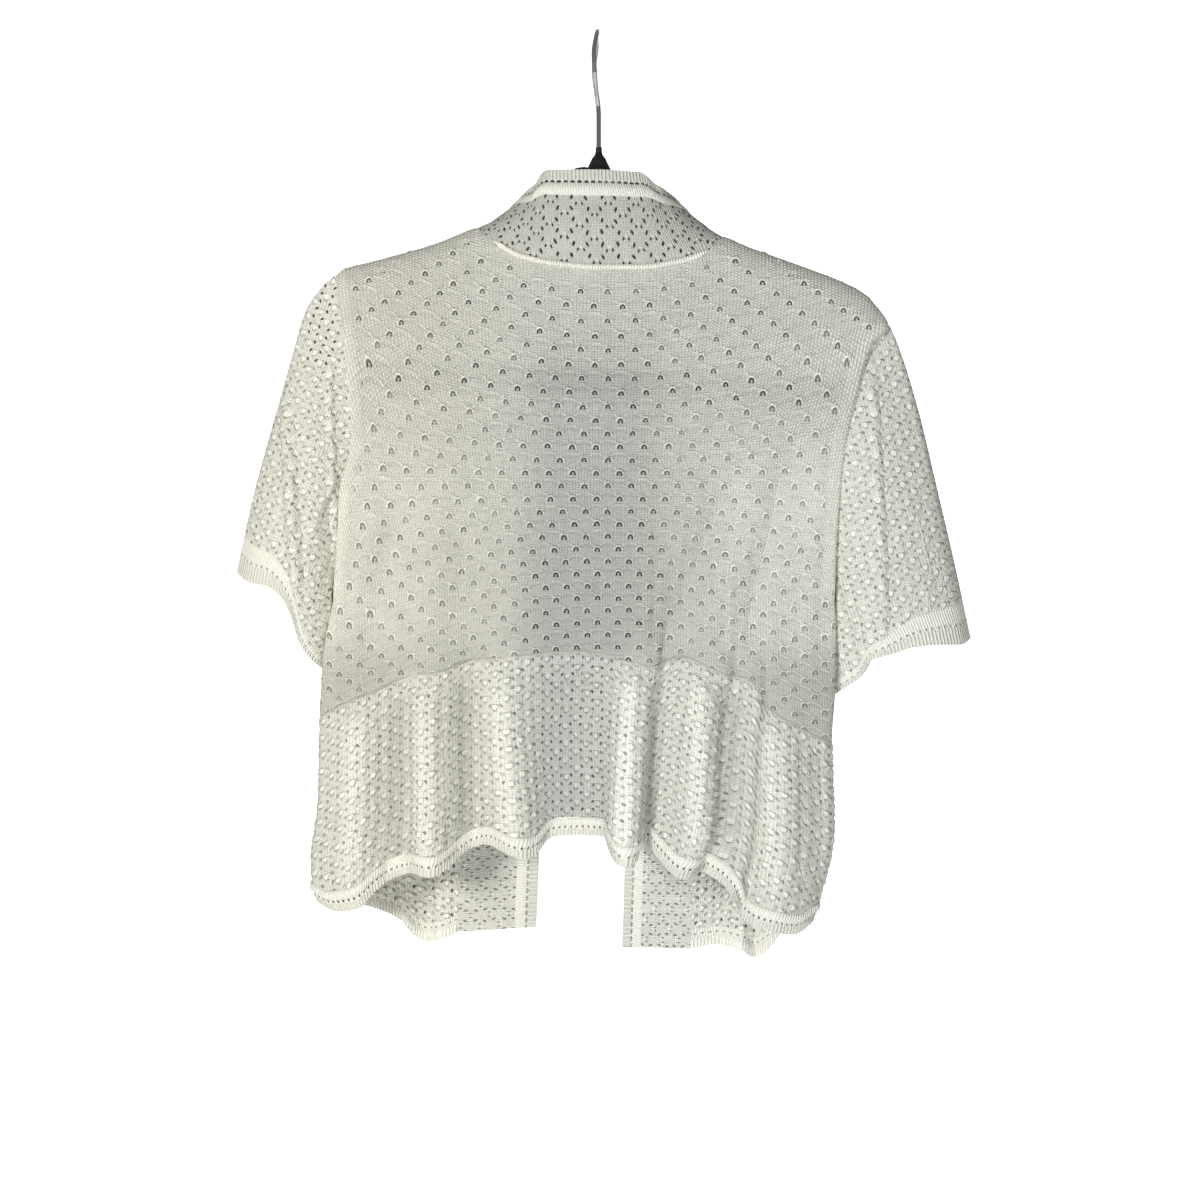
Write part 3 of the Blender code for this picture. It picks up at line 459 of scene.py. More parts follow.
def shell_mesh(name, outer, inner, skip, maps, loops, outward):
    """Closed thin shell from two grids of points: a fine one outside and a coarser one inside.

    The inner grid takes every skip-th row and column of the outer one. Rims join the two with
    fans, and each corner's place in a UV map is that map's value at its place in the grid.
    """
    rows, cols = outer.shape[:2]
    in_rows, in_cols = inner.shape[:2]
    under = rows * cols
    wide = maps["stitches"].shape[1]

    def sheet(n_rows, n_cols, base, stride):
        """The quads of one grid, and each corner's place in the UV maps."""
        i, j = np.meshgrid(np.arange(n_rows - 1), np.arange(n_cols if loops else n_cols - 1), indexing="ij")
        i, j = i.ravel(), j.ravel()
        ends = ((i, j), (i, j + 1), (i + 1, j + 1), (i + 1, j))
        points = np.stack([base + a * n_cols + b % n_cols for a, b in ends], -1)
        marks = np.stack([a * stride * wide + b * stride for a, b in ends], -1)
        return points, marks

    def fan(fine, coarse, fine_marks):
        """Triangles between a fine border and a coarse one, skip fine steps to each coarse step."""
        n = len(coarse) - 1
        step = np.arange(n * skip)
        apex = coarse[(step + skip // 2) // skip]
        apex_mark = fine_marks[np.clip((step + skip // 2) // skip * skip, 0, len(fine_marks) - 1)]
        a = np.stack((fine[:-1], apex, fine[1:]), -1)
        am = np.stack((fine_marks[:-1], apex_mark, fine_marks[1:]), -1)
        turn = np.arange(n) * skip + (skip - skip // 2)
        b = np.stack((fine[turn], coarse[:-1], coarse[1:]), -1)
        bm = np.stack((fine_marks[turn], fine_marks[:-1:skip], fine_marks[skip::skip]), -1)
        return np.concatenate((a, b)), np.concatenate((am, bm))

    quads, quad_marks = sheet(rows, cols, 0, 1)
    backs, back_marks = sheet(in_rows, in_cols, under, skip)
    quads = np.concatenate((quads, backs[:, ::-1]))
    quad_marks = np.concatenate((quad_marks, back_marks[:, ::-1]))
    steps = np.arange(cols + 1 if loops else cols)
    in_steps = np.arange(in_cols + 1 if loops else in_cols)
    last, in_last = (rows - 1) * cols, (in_rows - 1) * in_cols
    rims = [
        (steps % cols, under + in_steps % in_cols, steps, False),
        (last + steps % cols, under + in_last + in_steps % in_cols, (rows - 1) * wide + steps, True),
    ]
    if not loops:
        down, in_down = np.arange(rows), np.arange(in_rows)
        rims.append((down * cols, under + in_down * in_cols, down * wide, True))
        rims.append((down * cols + cols - 1, under + in_down * in_cols + in_cols - 1,
                     down * wide + wide - 1, False))
    triangles, marks = [], []
    for fine, coarse, fine_marks, turned in rims:
        part, part_marks = fan(fine, coarse, fine_marks)
        triangles.append(part[:, ::-1] if turned else part)
        marks.append(part_marks[:, ::-1] if turned else part_marks)
    triangles, marks = np.concatenate(triangles), np.concatenate(marks)
    if not outward:
        quads, quad_marks = quads[:, ::-1], quad_marks[:, ::-1]
        triangles, marks = triangles[:, ::-1], marks[:, ::-1]
    corners = np.concatenate((quads.ravel(), triangles.ravel()))
    places = np.concatenate((quad_marks.ravel(), marks.ravel()))
    sizes = np.concatenate((np.full(len(quads), 4), np.full(len(triangles), 3)))
    points = np.concatenate((outer.reshape(-1, 3), inner.reshape(-1, 3))) * MM
    mesh = bpy.data.meshes.new(name)
    mesh.vertices.add(len(points))
    mesh.vertices.foreach_set("co", points.ravel())
    mesh.loops.add(len(corners))
    mesh.loops.foreach_set("vertex_index", corners.astype(np.int32))
    mesh.polygons.add(len(sizes))
    mesh.polygons.foreach_set("loop_start", np.concatenate(((0,), np.cumsum(sizes)[:-1])).astype(np.int32))
    mesh.polygons.foreach_set("use_smooth", np.ones(len(sizes), bool))
    for title, values in maps.items():
        layer = mesh.uv_layers.new(name=title)
        layer.data.foreach_set("uv", values.reshape(-1, 2)[places].ravel())
    mesh.update(calc_edges=True)
    mesh.set_sharp_from_angle(angle=math.radians(62))
    return mesh


def spread(start, end, length, spacing, skip):
    """Even places from start to end, near the spacing, their steps a multiple of skip."""
    steps = max(skip, int(round(length / spacing / skip)) * skip)
    return np.linspace(start, end, steps + 1)


def cloth(name, surface, down, across, stitch, relief, look, outward, skip=4, loops=False,
          steps=(2e-3, 1e-2), under=None, more=None):
    """A cloth shell: the surface's grid moved out along its normal by half the wall and the relief.

    The normal is the cross product of the surface's differences across and down. More is a function
    that gives further UV maps from the grid.
    """
    row, col = np.meshgrid(down, across[:-1] if loops else across, indexing="ij")
    e, d = steps
    normal = unit(np.cross(
        surface(col + e, row) - surface(col - e, row), surface(col, row + d) - surface(col, row - d),
    )) * (1.0 if outward else -1.0)
    middle = surface(col, row)
    full_row, full_col = np.meshgrid(down, across, indexing="ij")
    full = surface(full_col, full_row)
    marks = stitch(full_col, full_row, full)
    maps = {"stitches": marks, **(more(full_col, full_row, full) if more else {})}
    at = marks[:, :-1] if loops else marks
    outer = middle + normal * (WALL / 2 + relief(at[..., 0], at[..., 1], middle))[..., None]
    inner = middle - normal * (WALL / 2)
    if under is not None:
        inner = inner - normal * under(at[..., 0], at[..., 1], middle)[..., None]
    inner = inner[::skip, ::skip]
    mesh = shell_mesh(name, outer, inner, skip, maps, loops, outward)
    mesh.materials.append(look)
    return finished(name, mesh)


def finished(name, mesh):
    """One object of the bolero from its mesh, riding on the hanging body."""
    made = bpy.data.objects.new(name, mesh)
    bpy.context.scene.collection.objects.link(made)
    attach(made, "root")
    return made


def tube_mesh(name, line, radius, sides, closed, stitch_length):
    """A round cord along a line: a circle across the line's direction at each of its points.

    Its radius swells once in each stitch's length by the size of a sine, and tapers at open ends.
    """
    if closed:
        ahead = unit(np.roll(line, -1, axis=0) - np.roll(line, 1, axis=0))
    else:
        ahead = unit(np.gradient(line, axis=0))
    side = unit(np.cross(ahead, (0.03, 1.0, 0.02)))
    other = np.cross(ahead, side)
    turn = np.linspace(0, 2 * np.pi, sides, endpoint=False)
    ring = side[:, None] * np.cos(turn)[:, None] + other[:, None] * np.sin(turn)[:, None]
    run = np.concatenate(((0.0,), np.cumsum(np.linalg.norm(np.diff(line, axis=0), axis=1))))
    wrap = 0.72 + 0.28 * np.abs(np.sin(np.pi * run / stitch_length))
    if not closed:
        wrap = wrap * (0.2 + 0.8 * ease(np.minimum(run, run[-1] - run) / 8.0))
    points = line[:, None] + ring * (radius * wrap)[:, None, None]
    count = len(line)
    i, j = np.meshgrid(np.arange(count if closed else count - 1), np.arange(sides), indexing="ij")
    i, j = i.ravel(), j.ravel()
    after, nxt = (i + 1) % count, (j + 1) % sides
    quads = np.stack((i * sides + j, after * sides + j, after * sides + nxt, i * sides + nxt), -1)
    faces = quads.tolist()
    if not closed:
        faces.append(list(range(sides)))
        faces.append([(count - 1) * sides + n for n in reversed(range(sides))])
    mesh = bpy.data.meshes.new(name)
    mesh.from_pydata((points.reshape(-1, 3) * MM).tolist(), [], faces)
    mesh.polygons.foreach_set("use_smooth", np.ones(len(mesh.polygons), bool))
    layer = mesh.uv_layers.new(name="stitches")
    index = np.zeros(len(mesh.loops), np.int32)
    mesh.loops.foreach_get("vertex_index", index)
    layer.data.foreach_set("uv", np.stack((run[index // sides] / 10, (index % sides) / sides), -1).ravel())
    mesh.update(calc_edges=True)
    return mesh


class Wire:
    """A value inside a material: arithmetic on it adds the Math nodes that work it out."""

    def __init__(self, look, socket):
        self.look, self.socket = look, socket

    def maths(self, operation, *values):
        """The outcome of one Math node."""
        node = self.look.add("ShaderNodeMath", {"operation": operation}, dict(enumerate(values)))
        return Wire(self.look, node.outputs[0])

    def __add__(self, other):
        return self.maths("ADD", self, other)

    def __radd__(self, other):
        return self.maths("ADD", other, self)

    def __sub__(self, other):
        return self.maths("SUBTRACT", self, other)

    def __rsub__(self, other):
        return self.maths("SUBTRACT", other, self)

    def __mul__(self, other):
        return self.maths("MULTIPLY", self, other)

    def __rmul__(self, other):
        return self.maths("MULTIPLY", other, self)

    def __truediv__(self, other):
        return self.maths("DIVIDE", self, other)

    def __abs__(self):
        return self.maths("ABSOLUTE", self)

    def fract(self):
        """The part after the point, from 0 to 1."""
        return self.maths("FRACT", self)

    def sine(self):
        """Its sine, in radians."""
        return self.maths("SINE", self)

    def root(self):
        """Its square root."""
        return self.maths("SQRT", self)

    def halves(self):
        """Twice the value, rounded, so that one unit of the lattice has one number."""
        return self.maths("ROUND", self * 2.0)

    def least(self, other):
        """The smaller of the two."""
        return self.maths("MINIMUM", self, other)

    def most(self, other):
        """The larger of the two."""
        return self.maths("MAXIMUM", self, other)

    def above(self, other):
        """1 where it is larger than the other, 0 elsewhere."""
        return self.maths("GREATER_THAN", self, other)

    def between(self, low, high):
        """0 below low, 1 above high, and a smooth step from one to the other."""
        node = self.look.add(
            "ShaderNodeMapRange", {"interpolation_type": "SMOOTHSTEP"},
            {"Value": self, "From Min": min(low, high), "From Max": max(low, high)},
        )
        rising = Wire(self.look, node.outputs[0])
        return rising if low < high else 1 - rising


class Look:
    """A material that is built up node by node. Its fixed numbers sit on the shader's own sockets."""

    def __init__(self, name, **fixed):
        self.material = bpy.data.materials.new(name)
        self.material.use_nodes = True
        self.tree = self.material.node_tree
        self.shader = self.tree.nodes["Principled BSDF"]
        for socket, value in fixed.items():
            self.shader.inputs[socket.replace("_", " ")].default_value = value

    def add(self, kind, settings=None, values=None):
        """A node of a kind: its settings first, then the values or links of its sockets."""
        node = self.tree.nodes.new(kind)
        for setting, value in (settings or {}).items():
            setattr(node, setting, value)
        for socket, value in (values or {}).items():
            if isinstance(value, Wire):
                self.tree.links.new(value.socket, node.inputs[socket])
            else:
                node.inputs[socket].default_value = value
        return node

    def split(self, socket):
        """The three parts of a vector."""
        node = self.add("ShaderNodeSeparateXYZ", None, {0: Wire(self, socket)})
        return [Wire(self, out) for out in node.outputs]

    def stitches(self, title="stitches"):
        """The two values of one of the piece's own UV maps: by default the stitch counts."""
        return self.split(self.add("ShaderNodeUVMap", {"uv_map": title}).outputs[0])[:2]

    def chance(self, *values):
        """An even random number from 0 to 1 for each set of whole or half numbers."""
        spot = Wire(self, self.add("ShaderNodeCombineXYZ", None, dict(enumerate(values))).outputs[0])
        node = self.add("ShaderNodeTexWhiteNoise", {"noise_dimensions": "3D"}, {"Vector": spot})
        return Wire(self, node.outputs[0])

    def place(self):
        """The place on the object in millimetres: x, y, z."""
        return [axis * 1000.0 for axis in self.split(self.add("ShaderNodeTexCoord").outputs["Object"])]

    def noise(self, scale, detail=2.0, stretch=(1.0, 1.0, 1.0)):
        """Cloud noise on Object coordinates, its scale in clouds to the metre."""
        where = self.add("ShaderNodeTexCoord").outputs["Object"]
        moved = self.add("ShaderNodeMapping", None, {"Vector": Wire(self, where), "Scale": stretch})
        node = self.add(
            "ShaderNodeTexNoise", None,
            {"Vector": Wire(self, moved.outputs[0]), "Scale": scale, "Detail": detail},
        )
        return Wire(self, node.outputs[0])

    def mix(self, factor, first, second):
        """A colour between two: the first at factor 0, the second at 1."""
        node = self.add(
            "ShaderNodeMix", {"data_type": "RGBA"}, {0: factor, 6: first, 7: second},
        )
        return Wire(self, node.outputs[2])

    def scaled(self, colour, share):
        """A colour with each part multiplied by one share."""
        node = self.add("ShaderNodeVectorMath", {"operation": "SCALE"}, {0: colour, "Scale": share})
        return Wire(self, node.outputs[0])

    def feed(self, socket, value):
        """Links a value to a socket of the shader."""
        self.tree.links.new(value.socket, self.shader.inputs[socket])

    def raise_by(self, height, depth, strength=1.0):
        """A bump whose height runs from 0 to 1 over a depth in metres."""
        node = self.add("ShaderNodeBump", None, {"Strength": strength, "Distance": depth, "Height": height})
        self.tree.links.new(node.outputs[0], self.shader.inputs["Normal"])


def colour(values):
    """A colour with full alpha."""
    return (*values[:3], 1.0)


def unit_of(c, r):
    """The shader's twin of nearest: right and down inside the nearest unit of a half-drop lattice."""
    u, v = (c + 0.5).fract() - 0.5, (r + 0.5).fract() - 0.5
    far = (abs(u) + abs(v)).above(0.5)
    u2, v2 = c.fract() - 0.5, r.fract() - 0.5
    return u + (u2 - u) * far, v + (v2 - v) * far


def knit_threads(c, r, wales, courses):
    """Height of plain stitches: V legs that lean along each wale, with a groove between wales."""
    p = abs((c * wales).fract() - 0.5)
    leg = abs((r * courses + p * 1.2).fract() * 2.0 - 1.0)
    return (leg * 0.75 + 0.25) * (1 - (p * 2.0).between(0.55, 1.0) * 0.65)


def slanted(x, y, wide, tall, lean):
    """1 inside an ellipse whose long side leans, 0 outside, with a soft rim."""
    a = x * math.cos(lean) + y * math.sin(lean)
    b = y * math.cos(lean) - x * math.sin(lean)
    a, b = a / wide, b / tall
    return 1 - (a * a + b * b).between(0.5, 1.5)


def arch_marks(look, c, r):
    """The arch stitch: its dark slit and feet, its pale raised arch, the scallops, and a chance.

    A scallop is a bright line less the shade under it. The slant and unit maps turn a place in the
    lattice into upright millimetres from the arch.
    """
    u, v = unit_of(c, r)
    lean, slope = look.stitches("slant")
    wide, tall = look.stitches("unit")
    x, y = u * wide * 10.0, v * tall * -10.0
    x = (x + lean * y) / (1 - lean * slope)
    y = y + slope * x
    ring = (x * x + (y + 0.4) * (y + 0.4)).root()
    slits = (1 - abs(ring - 1.55).between(0.35, 0.85)) * y.between(-1.7, -0.9)
    feet = slanted(abs(x) - 1.5, y + 0.8, 0.7, 0.95, 0.0)
    arch = (1 - abs(ring - 2.8).between(0.3, 1.0)) * y.between(-1.4, 0.3)
    rows = r * -ARCH_TALL
    ripple = [abs(((c + shift) * math.pi).sine()) * 3.6 for shift in (0.0, 0.5)]
    even = ((rows - 2.2 - ripple[0]) / ARCH_TALL + 0.5).fract() - 0.5
    odd = ((rows - 2.2 - ripple[1]) / ARCH_TALL).fract() - 0.5
    near = abs(even).least(abs(odd)) * ARCH_TALL
    below = (abs(even + 0.105).least(abs(odd + 0.105)) * ARCH_TALL).between(2.2, 0.4)
    luck = look.chance((c - u).halves(), (r - v).halves(), 0.0)
    return (slits * 0.9).most(feet), arch, near.between(1.5, 0.2) - below * 0.8, luck


def leaf_marks(look, c, r, wide, tall, large):
    """The leaf stitch: its pair of eyelets, its leaf's pale foot, the shade under it, and a chance."""
    u, v = unit_of(c, r)
    x, y = abs(u * wide), v * -tall
    size = wide / LEAF_WIDE
    eyelets = slanted(x - 0.26 * wide, y - 0.08 * tall, large * 1.35, large * 0.8, -1.0)
    across, down = x / ((y + 2.6).most(0.0) * 0.32 + 1.5), (y + 0.2) / 2.6
    foot = 1 - (across * across + down * down).between(0.3, 1.4)
    foot = foot.most((1 - (x / size).between(0.5, 1.7)) * (1 - abs(y - 1.8).between(1.2, 3.0)) * 0.25)
    below = (y + 3.1) / 0.9
    under = 1 - (across * across * 0.7 + below * below).between(0.2, 1.3)
    luck = look.chance((c - u).halves(), (r - v).halves(), u.above(0.0))
    return eyelets, foot, under, luck


def lace_marks(look, c, r, wide, tall, large):
    """The band's lace: large eyelets, small ones, the pale V above the small ones, and a chance."""
    u, v = unit_of(c, r)
    x, y = abs(u * wide), v * -tall
    outer = slanted(x - 0.23 * wide, y - 0.10 * tall, large * 1.75, large * 0.95, -1.0)
    inner = slanted(x - 0.095 * wide, y + 0.16 * tall, large * 1.25, large * 0.8, -1.15)
    bright = slanted(x - 0.04 * wide, y + 0.08 * tall, 1.9, 0.9, -0.9)
    luck = look.chance((c - u).halves(), (r - v).halves(), u.above(0.0))
    return outer, inner, bright, luck


def band_marks(along, across, spacing, at, half_wide, half_tall, pitch):
    """A knitted band: its row of eyelets, and the height of its ribs and of the roll's threads.

    The eyelets are ellipses a spacing apart, at one place across; ribs and threads are sines.
    """
    x = ((along / spacing).fract() - 0.5) * spacing
    eyelets = slanted(x, across - at, half_wide, half_tall, 0.0)
    ribs = (along * (2 * math.pi / pitch)).sine() * 0.5 + 0.5
    threads = (along * (2 * math.pi / THREAD_PITCH) + across * 0.5).sine() * 0.5 + 0.5
    return eyelets, ribs, threads


def matt_yarn(name):
    """The start of every knit's look: matt, with a faint sheen."""
    return Look(name, Roughness=0.9, Sheen_Weight=0.03, Sheen_Roughness=0.6, Specular_IOR_Level=0.04)


def cream(look, palette, open_middle=False):
    """The yarn's colour over the piece, how much painted shade shows through it, and its fuzz.

    It is warmer at the object's left, and clouded. The back also has a see-through strip in its middle,
    painted greyer as shade where one layer hangs alone, sides painted brighter as light where two
    layers hang, and a faint painted shade where the hanger's bar lies behind it.
    """
    x, y, z = look.place()
    warm = x.between(40.0, -190.0)
    cloud = look.noise(9.0, 3.0)
    fuzz = look.noise(620.0, 2.0)
    base = look.mix(warm * 0.8 + cloud * 0.2, colour(palette.cream), colour(palette.warm))
    share = 0.88 + cloud * 0.10 + (fuzz - 0.5) * 0.42
    if not open_middle:
        return look.scaled(base, share), share * 0.0, fuzz
    # Painted shade: the back's middle is greyed where one layer hangs alone, as if the dark behind showed
    # through.
    low = z.between(-470.0, -520.0)
    right = 44.0 - low * 34.0
    soft = (1.0 - low * 0.72) * 26.0
    left_rim = ((x + 54.0 - low * 4.0) / soft).between(-1.0, 1.0)
    right_rim = ((right - x) / soft).between(-1.0, 1.0)
    sheer_shade = left_rim * right_rim * y.between(6.0, 0.0) * z.between(-200.0, -290.0)
    # Painted shade: a faint dark band where the hanger's bar lies behind the cloth, with darker eyelets
    # there.
    bar = z + 269.0 + x * 0.0394
    behind = bar.between(6.0, -4.0) * (1 - bar.between(-14.0, -34.0)) * abs(x - 4.0).between(206.0, 185.0)
    # Painted light: the back is brightened beside its middle, where two layers hang.
    full = (1 - sheer_shade) * (1 - low) * z.between(-290.0, -380.0) * abs(x - 5.0).between(20.0, 110.0)
    share = share * (1 + full * (0.12 + x.between(40.0, 140.0) * 0.1))
    base = look.mix(sheer_shade * (0.5 + cloud * 0.6), base, colour(palette.sheer_shade))
    return look.scaled(base, share * (1 - behind * 0.12)), (sheer_shade + behind * 0.7).least(1.0), fuzz


def cloth_look(name, palette, kind, sizes=(LEAF_WIDE, LEAF_TALL), open_middle=False, dark=0.6, large=1.0,
               tone=1.0):
    """Openwork knit in the arch stitch, the leaf stitch or the lace of the band, over plain stitches.

    Sizes are the unit's width and height, dark and large are the eyelets' shade and size, and tone
    multiplies the yarn's brightness.
    """
    look = matt_yarn(name)
    c, r = look.stitches()
    # The second value is how much painted shade shows through the cloth; it darkens the eyelets and raises
    # the threads' contrast.
    yarn, shade_through, fuzz = cream(look, palette, open_middle)
    wide, tall = sizes
    if kind == "arch":
        slits, arch, scallop, luck = arch_marks(look, c, r)
        side, top = (value * 10.0 for value in look.stitches("edge"))
        open_part = side.between(9.0, 13.0) * top.between(10.0, 14.0)
        threads = knit_threads(c, r, 8.0, 11.0)
        # Painted shade: the arch eyelets are darker near the top, where the hanger's arms lie behind, and
        # darker where shade shows through.
        upper = look.place()[2].between(-300.0, -210.0)
        holes = slits * (dark * (0.5 + luck * 0.4 + upper * 0.45) + shade_through * 0.65).least(0.97) * open_part
        light = (arch * (0.34 + shade_through * 0.14) + scallop * (0.06 + shade_through * 0.05)) * open_part
        light = light + side.between(11.0, 7.0) * 0.06
        height = threads * 1.1 + (arch * 0.8 + scallop * 0.5 - slits) * open_part
    elif kind == "leaf":
        eyelets, foot, under, luck = leaf_marks(look, c, r, wide, tall, large)
        lumps = look.noise(210.0, 3.0)
        x, _, z = look.place()
        # Painted shade: the eyelets are darker near the left shoulder tip, where the hanger's end lies behind
        # the sleeve.
        behind = (1 - abs(x + 220.0).between(8.0, 15.0)) * (1 - abs(z + 232.0).between(28.0, 42.0))
        # Painted shade: the back's leaf stitch is darkened where the creases press it in.
        if open_middle:
            tone = tone * (1 - look.stitches("fold")[0] * 0.36)
        threads = knit_threads(c, r, round(wide / WALE_WIDE), round(tall / COURSE_TALL))
        holes = eyelets * (dark * (0.05 + luck * 0.85) + shade_through * 0.3 + behind * 0.9).least(0.95)
        light = foot * (0.11 + luck * 0.11) - under * 0.16 + (lumps - 0.5) * 0.22
        height = threads * 0.4 * (1 - foot * 0.6) + foot * 1.2 + lumps * 1.6 - eyelets - under * 0.5
    else:
        outer, inner, bright, luck = lace_marks(look, c, r, wide, tall, large)
        threads = knit_threads(c, r, 10.0, round(tall / COURSE_TALL))
        # Painted light: the lace is brightened and its eyelets paled towards the bottom, against the shadow
        # that the back casts on the fronts.
        low = look.place()[2].between(-600.0, -650.0)
        dark, tone = dark * (1 - low * 0.45), tone * (1 + low * 0.38)
        holes = (outer * dark).least(0.97).most((inner * dark * (0.7 + luck * 0.25)).least(0.92))
        wale = (c * (20.0 * math.pi)).sine()
        light = bright * 0.22 + (threads - 0.5) * 0.10 + wale * 0.06
        height = threads * 0.6 + bright * 0.5 + wale * 0.3 - outer - inner * 0.7
    lit = look.scaled(yarn, (0.66 + light + threads * (0.44 + shade_through * 0.14)) * tone)
    look.feed("Base Color", look.mix(holes, lit, colour(palette.hole)))
    look.raise_by(height + fuzz * 0.5, 0.0011, 1.0)
    return look.material


def band_look(name, palette, spacing, at, half_wide, half_tall, pitch, ribs_from, dark=0.6, tone=0.84,
              ribbing=0.22, fade=0.0):
    """A knitted band: a roll of fine upright threads, a row of eyelets, then ribs to the free edge.

    Fade is how much the eyelets pale at the object's foot.
    """
    look = matt_yarn(name)
    along, across = (value * 10.0 for value in look.stitches())
    yarn, _, fuzz = cream(look, palette)
    eyelets, ribs, threads = band_marks(along, across, spacing, at, half_wide, half_tall, pitch)
    ribbed = across.between(ribs_from - 0.8, ribs_from + 0.8)
    depth = look.noise(30.0, 2.0).between(0.3, 0.7)
    foot = look.place()[2].between(-540.0, -620.0)
    holes = eyelets * (dark * (0.6 + depth * 0.4) * (1 - foot * fade)).least(0.97)
    # Painted shade: a tone under 1 darkens the ribbed part, where the ribs curl in.
    shade = (0.96 + threads * 0.12) * (1 - ribbed) + (0.99 - ribbing / 2 + ribs * ribbing) * tone * ribbed
    look.feed("Base Color", look.mix(holes, look.scaled(yarn, shade), colour(palette.hole)))
    height = threads * 0.6 * (1 - ribbed) + ribs * 0.9 * ribbed - eyelets + fuzz * 0.5
    look.raise_by(height, 0.0009, 1.0)
    return look.material


def thread_look(name, palette, tone=1.0):
    """Plain twisted yarn, for the seams' rolls."""
    look = matt_yarn(name)
    along, around = look.stitches()
    yarn, _, fuzz = cream(look, palette)
    twist = ((along * 10.0 / TWIST_PITCH + around) * (2 * math.pi)).sine() * 0.5 + 0.5
    look.feed("Base Color", look.scaled(yarn, (0.98 + twist * 0.1) * tone))
    look.raise_by(twist + fuzz * 0.3, 0.0005, 0.8)
    return look.material


def plastic_look(name, tone):
    """Black moulded plastic with a fine grain and faint scuffs."""
    look = Look(name, Specular_IOR_Level=0.25)
    grain, scuff = look.noise(1400.0, 2.0), look.noise(60.0, 5.0, (1.0, 1.0, 4.0))
    worn = scuff.between(0.56, 0.74)
    look.feed("Base Color", look.mix(worn * 0.3, colour(tone), (0.04, 0.04, 0.042, 1.0)))
    look.feed("Roughness", 0.42 + worn * 0.2 + grain * 0.06)
    look.raise_by(grain, 0.0001, 0.35)
    return look.material


def chrome_look(name, tone):
    """Bright plated wire with fine draw marks along it and a little haze."""
    look = Look(name, Metallic=1.0)
    drawn = look.noise(500.0, 3.0, (1.0, 1.0, 0.06))
    haze = look.noise(90.0, 3.0)
    plate = look.mix(haze, colour(tone), (0.62, 0.63, 0.66, 1.0))
    look.feed("Base Color", look.scaled(plate, 0.94 + drawn * 0.06))
    look.feed("Roughness", 0.10 + drawn * 0.08 + haze * 0.06)
    look.raise_by(drawn, 0.00005, 0.3)
    return look.material


# How the arch stitch is spaced: height, width of a unit, and height of half a unit.
ARCH_SPACING = np.array((
    (-150, 22.4, 11.9), (-204, 22.2, 11.8), (-280, 20.6, 11.2), (-321, 19.3, 10.5),
    (-380, 18.0, 10.0), (-444, 16.3, 9.6), (-600, 16.3, 9.6),
))
# How far the rows of the back lift at each side: height, lift 152 mm from the middle.
ARCH_LIFT = np.array((
    (-150, 29.0), (-230, 29.0), (-290, 16.0), (-360, 0.0), (-440, -16.0), (-500, -26.0), (-600, -26.0),
))
ROW_HEIGHTS = np.linspace(0.0, -700.0, 1401)
ROW_COUNTS = np.cumsum(0.5 / column(ROW_HEIGHTS, ARCH_SPACING, 2))
ROW_COUNTS = ROW_COUNTS - np.interp(-ROW_ZERO, -ROW_HEIGHTS, ROW_COUNTS)


def arch_rows(z):
    """Rows of half units from row 0: the sum of each step down over the half unit's height there."""
    return np.interp(-z, -ROW_HEIGHTS, ROW_COUNTS)


def back_arch_stitches(k, v, points):
    """Counts of the arch stitch on the back: x over the unit's width, and rows lifted at the sides."""
    x, z = points[..., 0], points[..., 2]
    away = np.clip(np.abs(x - ARCH_MIDDLE) / LIFT_REACH, 0, LIFT_LIMIT)
    level = z - column(z, ARCH_LIFT, 1) * away**2
    counts = np.stack(((x - ARCH_MIDDLE) / column(z, ARCH_SPACING, 1), arch_rows(level) / 2), -1)
    return counts + 0.012 * wobble(points)


def back_arch_maps(k, v, points):
    """The lattice's slant, its unit in tens of millimetres, and how far the side and top edges are.

    The slant is how far x drifts for each millimetre up along a column of arches, and how far a row
    climbs for each millimetre across.
    """
    x, z = points[..., 0], points[..., 2]
    wide = column(z, ARCH_SPACING, 1)
    lean = (x - ARCH_MIDDLE) / wide * (column(z + 2, ARCH_SPACING, 1) - column(z - 2, ARCH_SPACING, 1)) / 4
    away = np.clip((x - ARCH_MIDDLE) / LIFT_REACH, -LIFT_LIMIT, LIFT_LIMIT)
    slope = 2 * column(z, ARCH_LIFT, 1) * away / LIFT_REACH
    left, right = column(z, LEFT_EDGE, 1), column(z, RIGHT_EDGE, 1)
    side = np.minimum(x - left, right - x) + 30.0 * ease((UNDERARM + 10.0 - z) / 12.0)
    top = column(k, BACK_TOP, 1) - z
    return {
        "slant": np.stack((lean, slope), -1),
        "unit": np.stack((wide, 2 * column(z, ARCH_SPACING, 2)), -1) / 10,
        "edge": np.stack((side, top), -1) / 10,
    }


def fold_maps(k, v, points):
    """How far the creases press the back in at each place, in tens of millimetres."""
    pressed = back_creases(points[..., 0], points[..., 2]) / 10
    return {"fold": np.stack((pressed, 0 * pressed), -1)}


def back_leaf_stitches(k, v, points):
    """Counts of the leaf stitch under the waist: the share across, and the distance down from it."""
    drop = column(k, BACK_FOLDS, 1) - points[..., 2]
    counts = np.stack(((k - 0.5547) * LEAF_RUN / LEAF_WIDE, drop / LEAF_TALL - 0.41), -1)
    return counts + 0.022 * wobble(points)


def band_run(points, across_share, length):
    """Counts along and across a band in tens of millimetres: the run of its middle, and the share."""
    middle = points[points.shape[0] // 2]
    run = np.concatenate(((0.0,), np.cumsum(np.linalg.norm(np.diff(middle, axis=0), axis=1))))
    return np.stack((np.broadcast_to(run / 10, across_share.shape), across_share * length / 10), -1)


def roll_relief(across, thick, wide):
    """A rolled ridge: a flattened sine over its width."""
    return thick * np.sin(np.pi * np.clip(across / wide, 0, 1)) ** 0.75


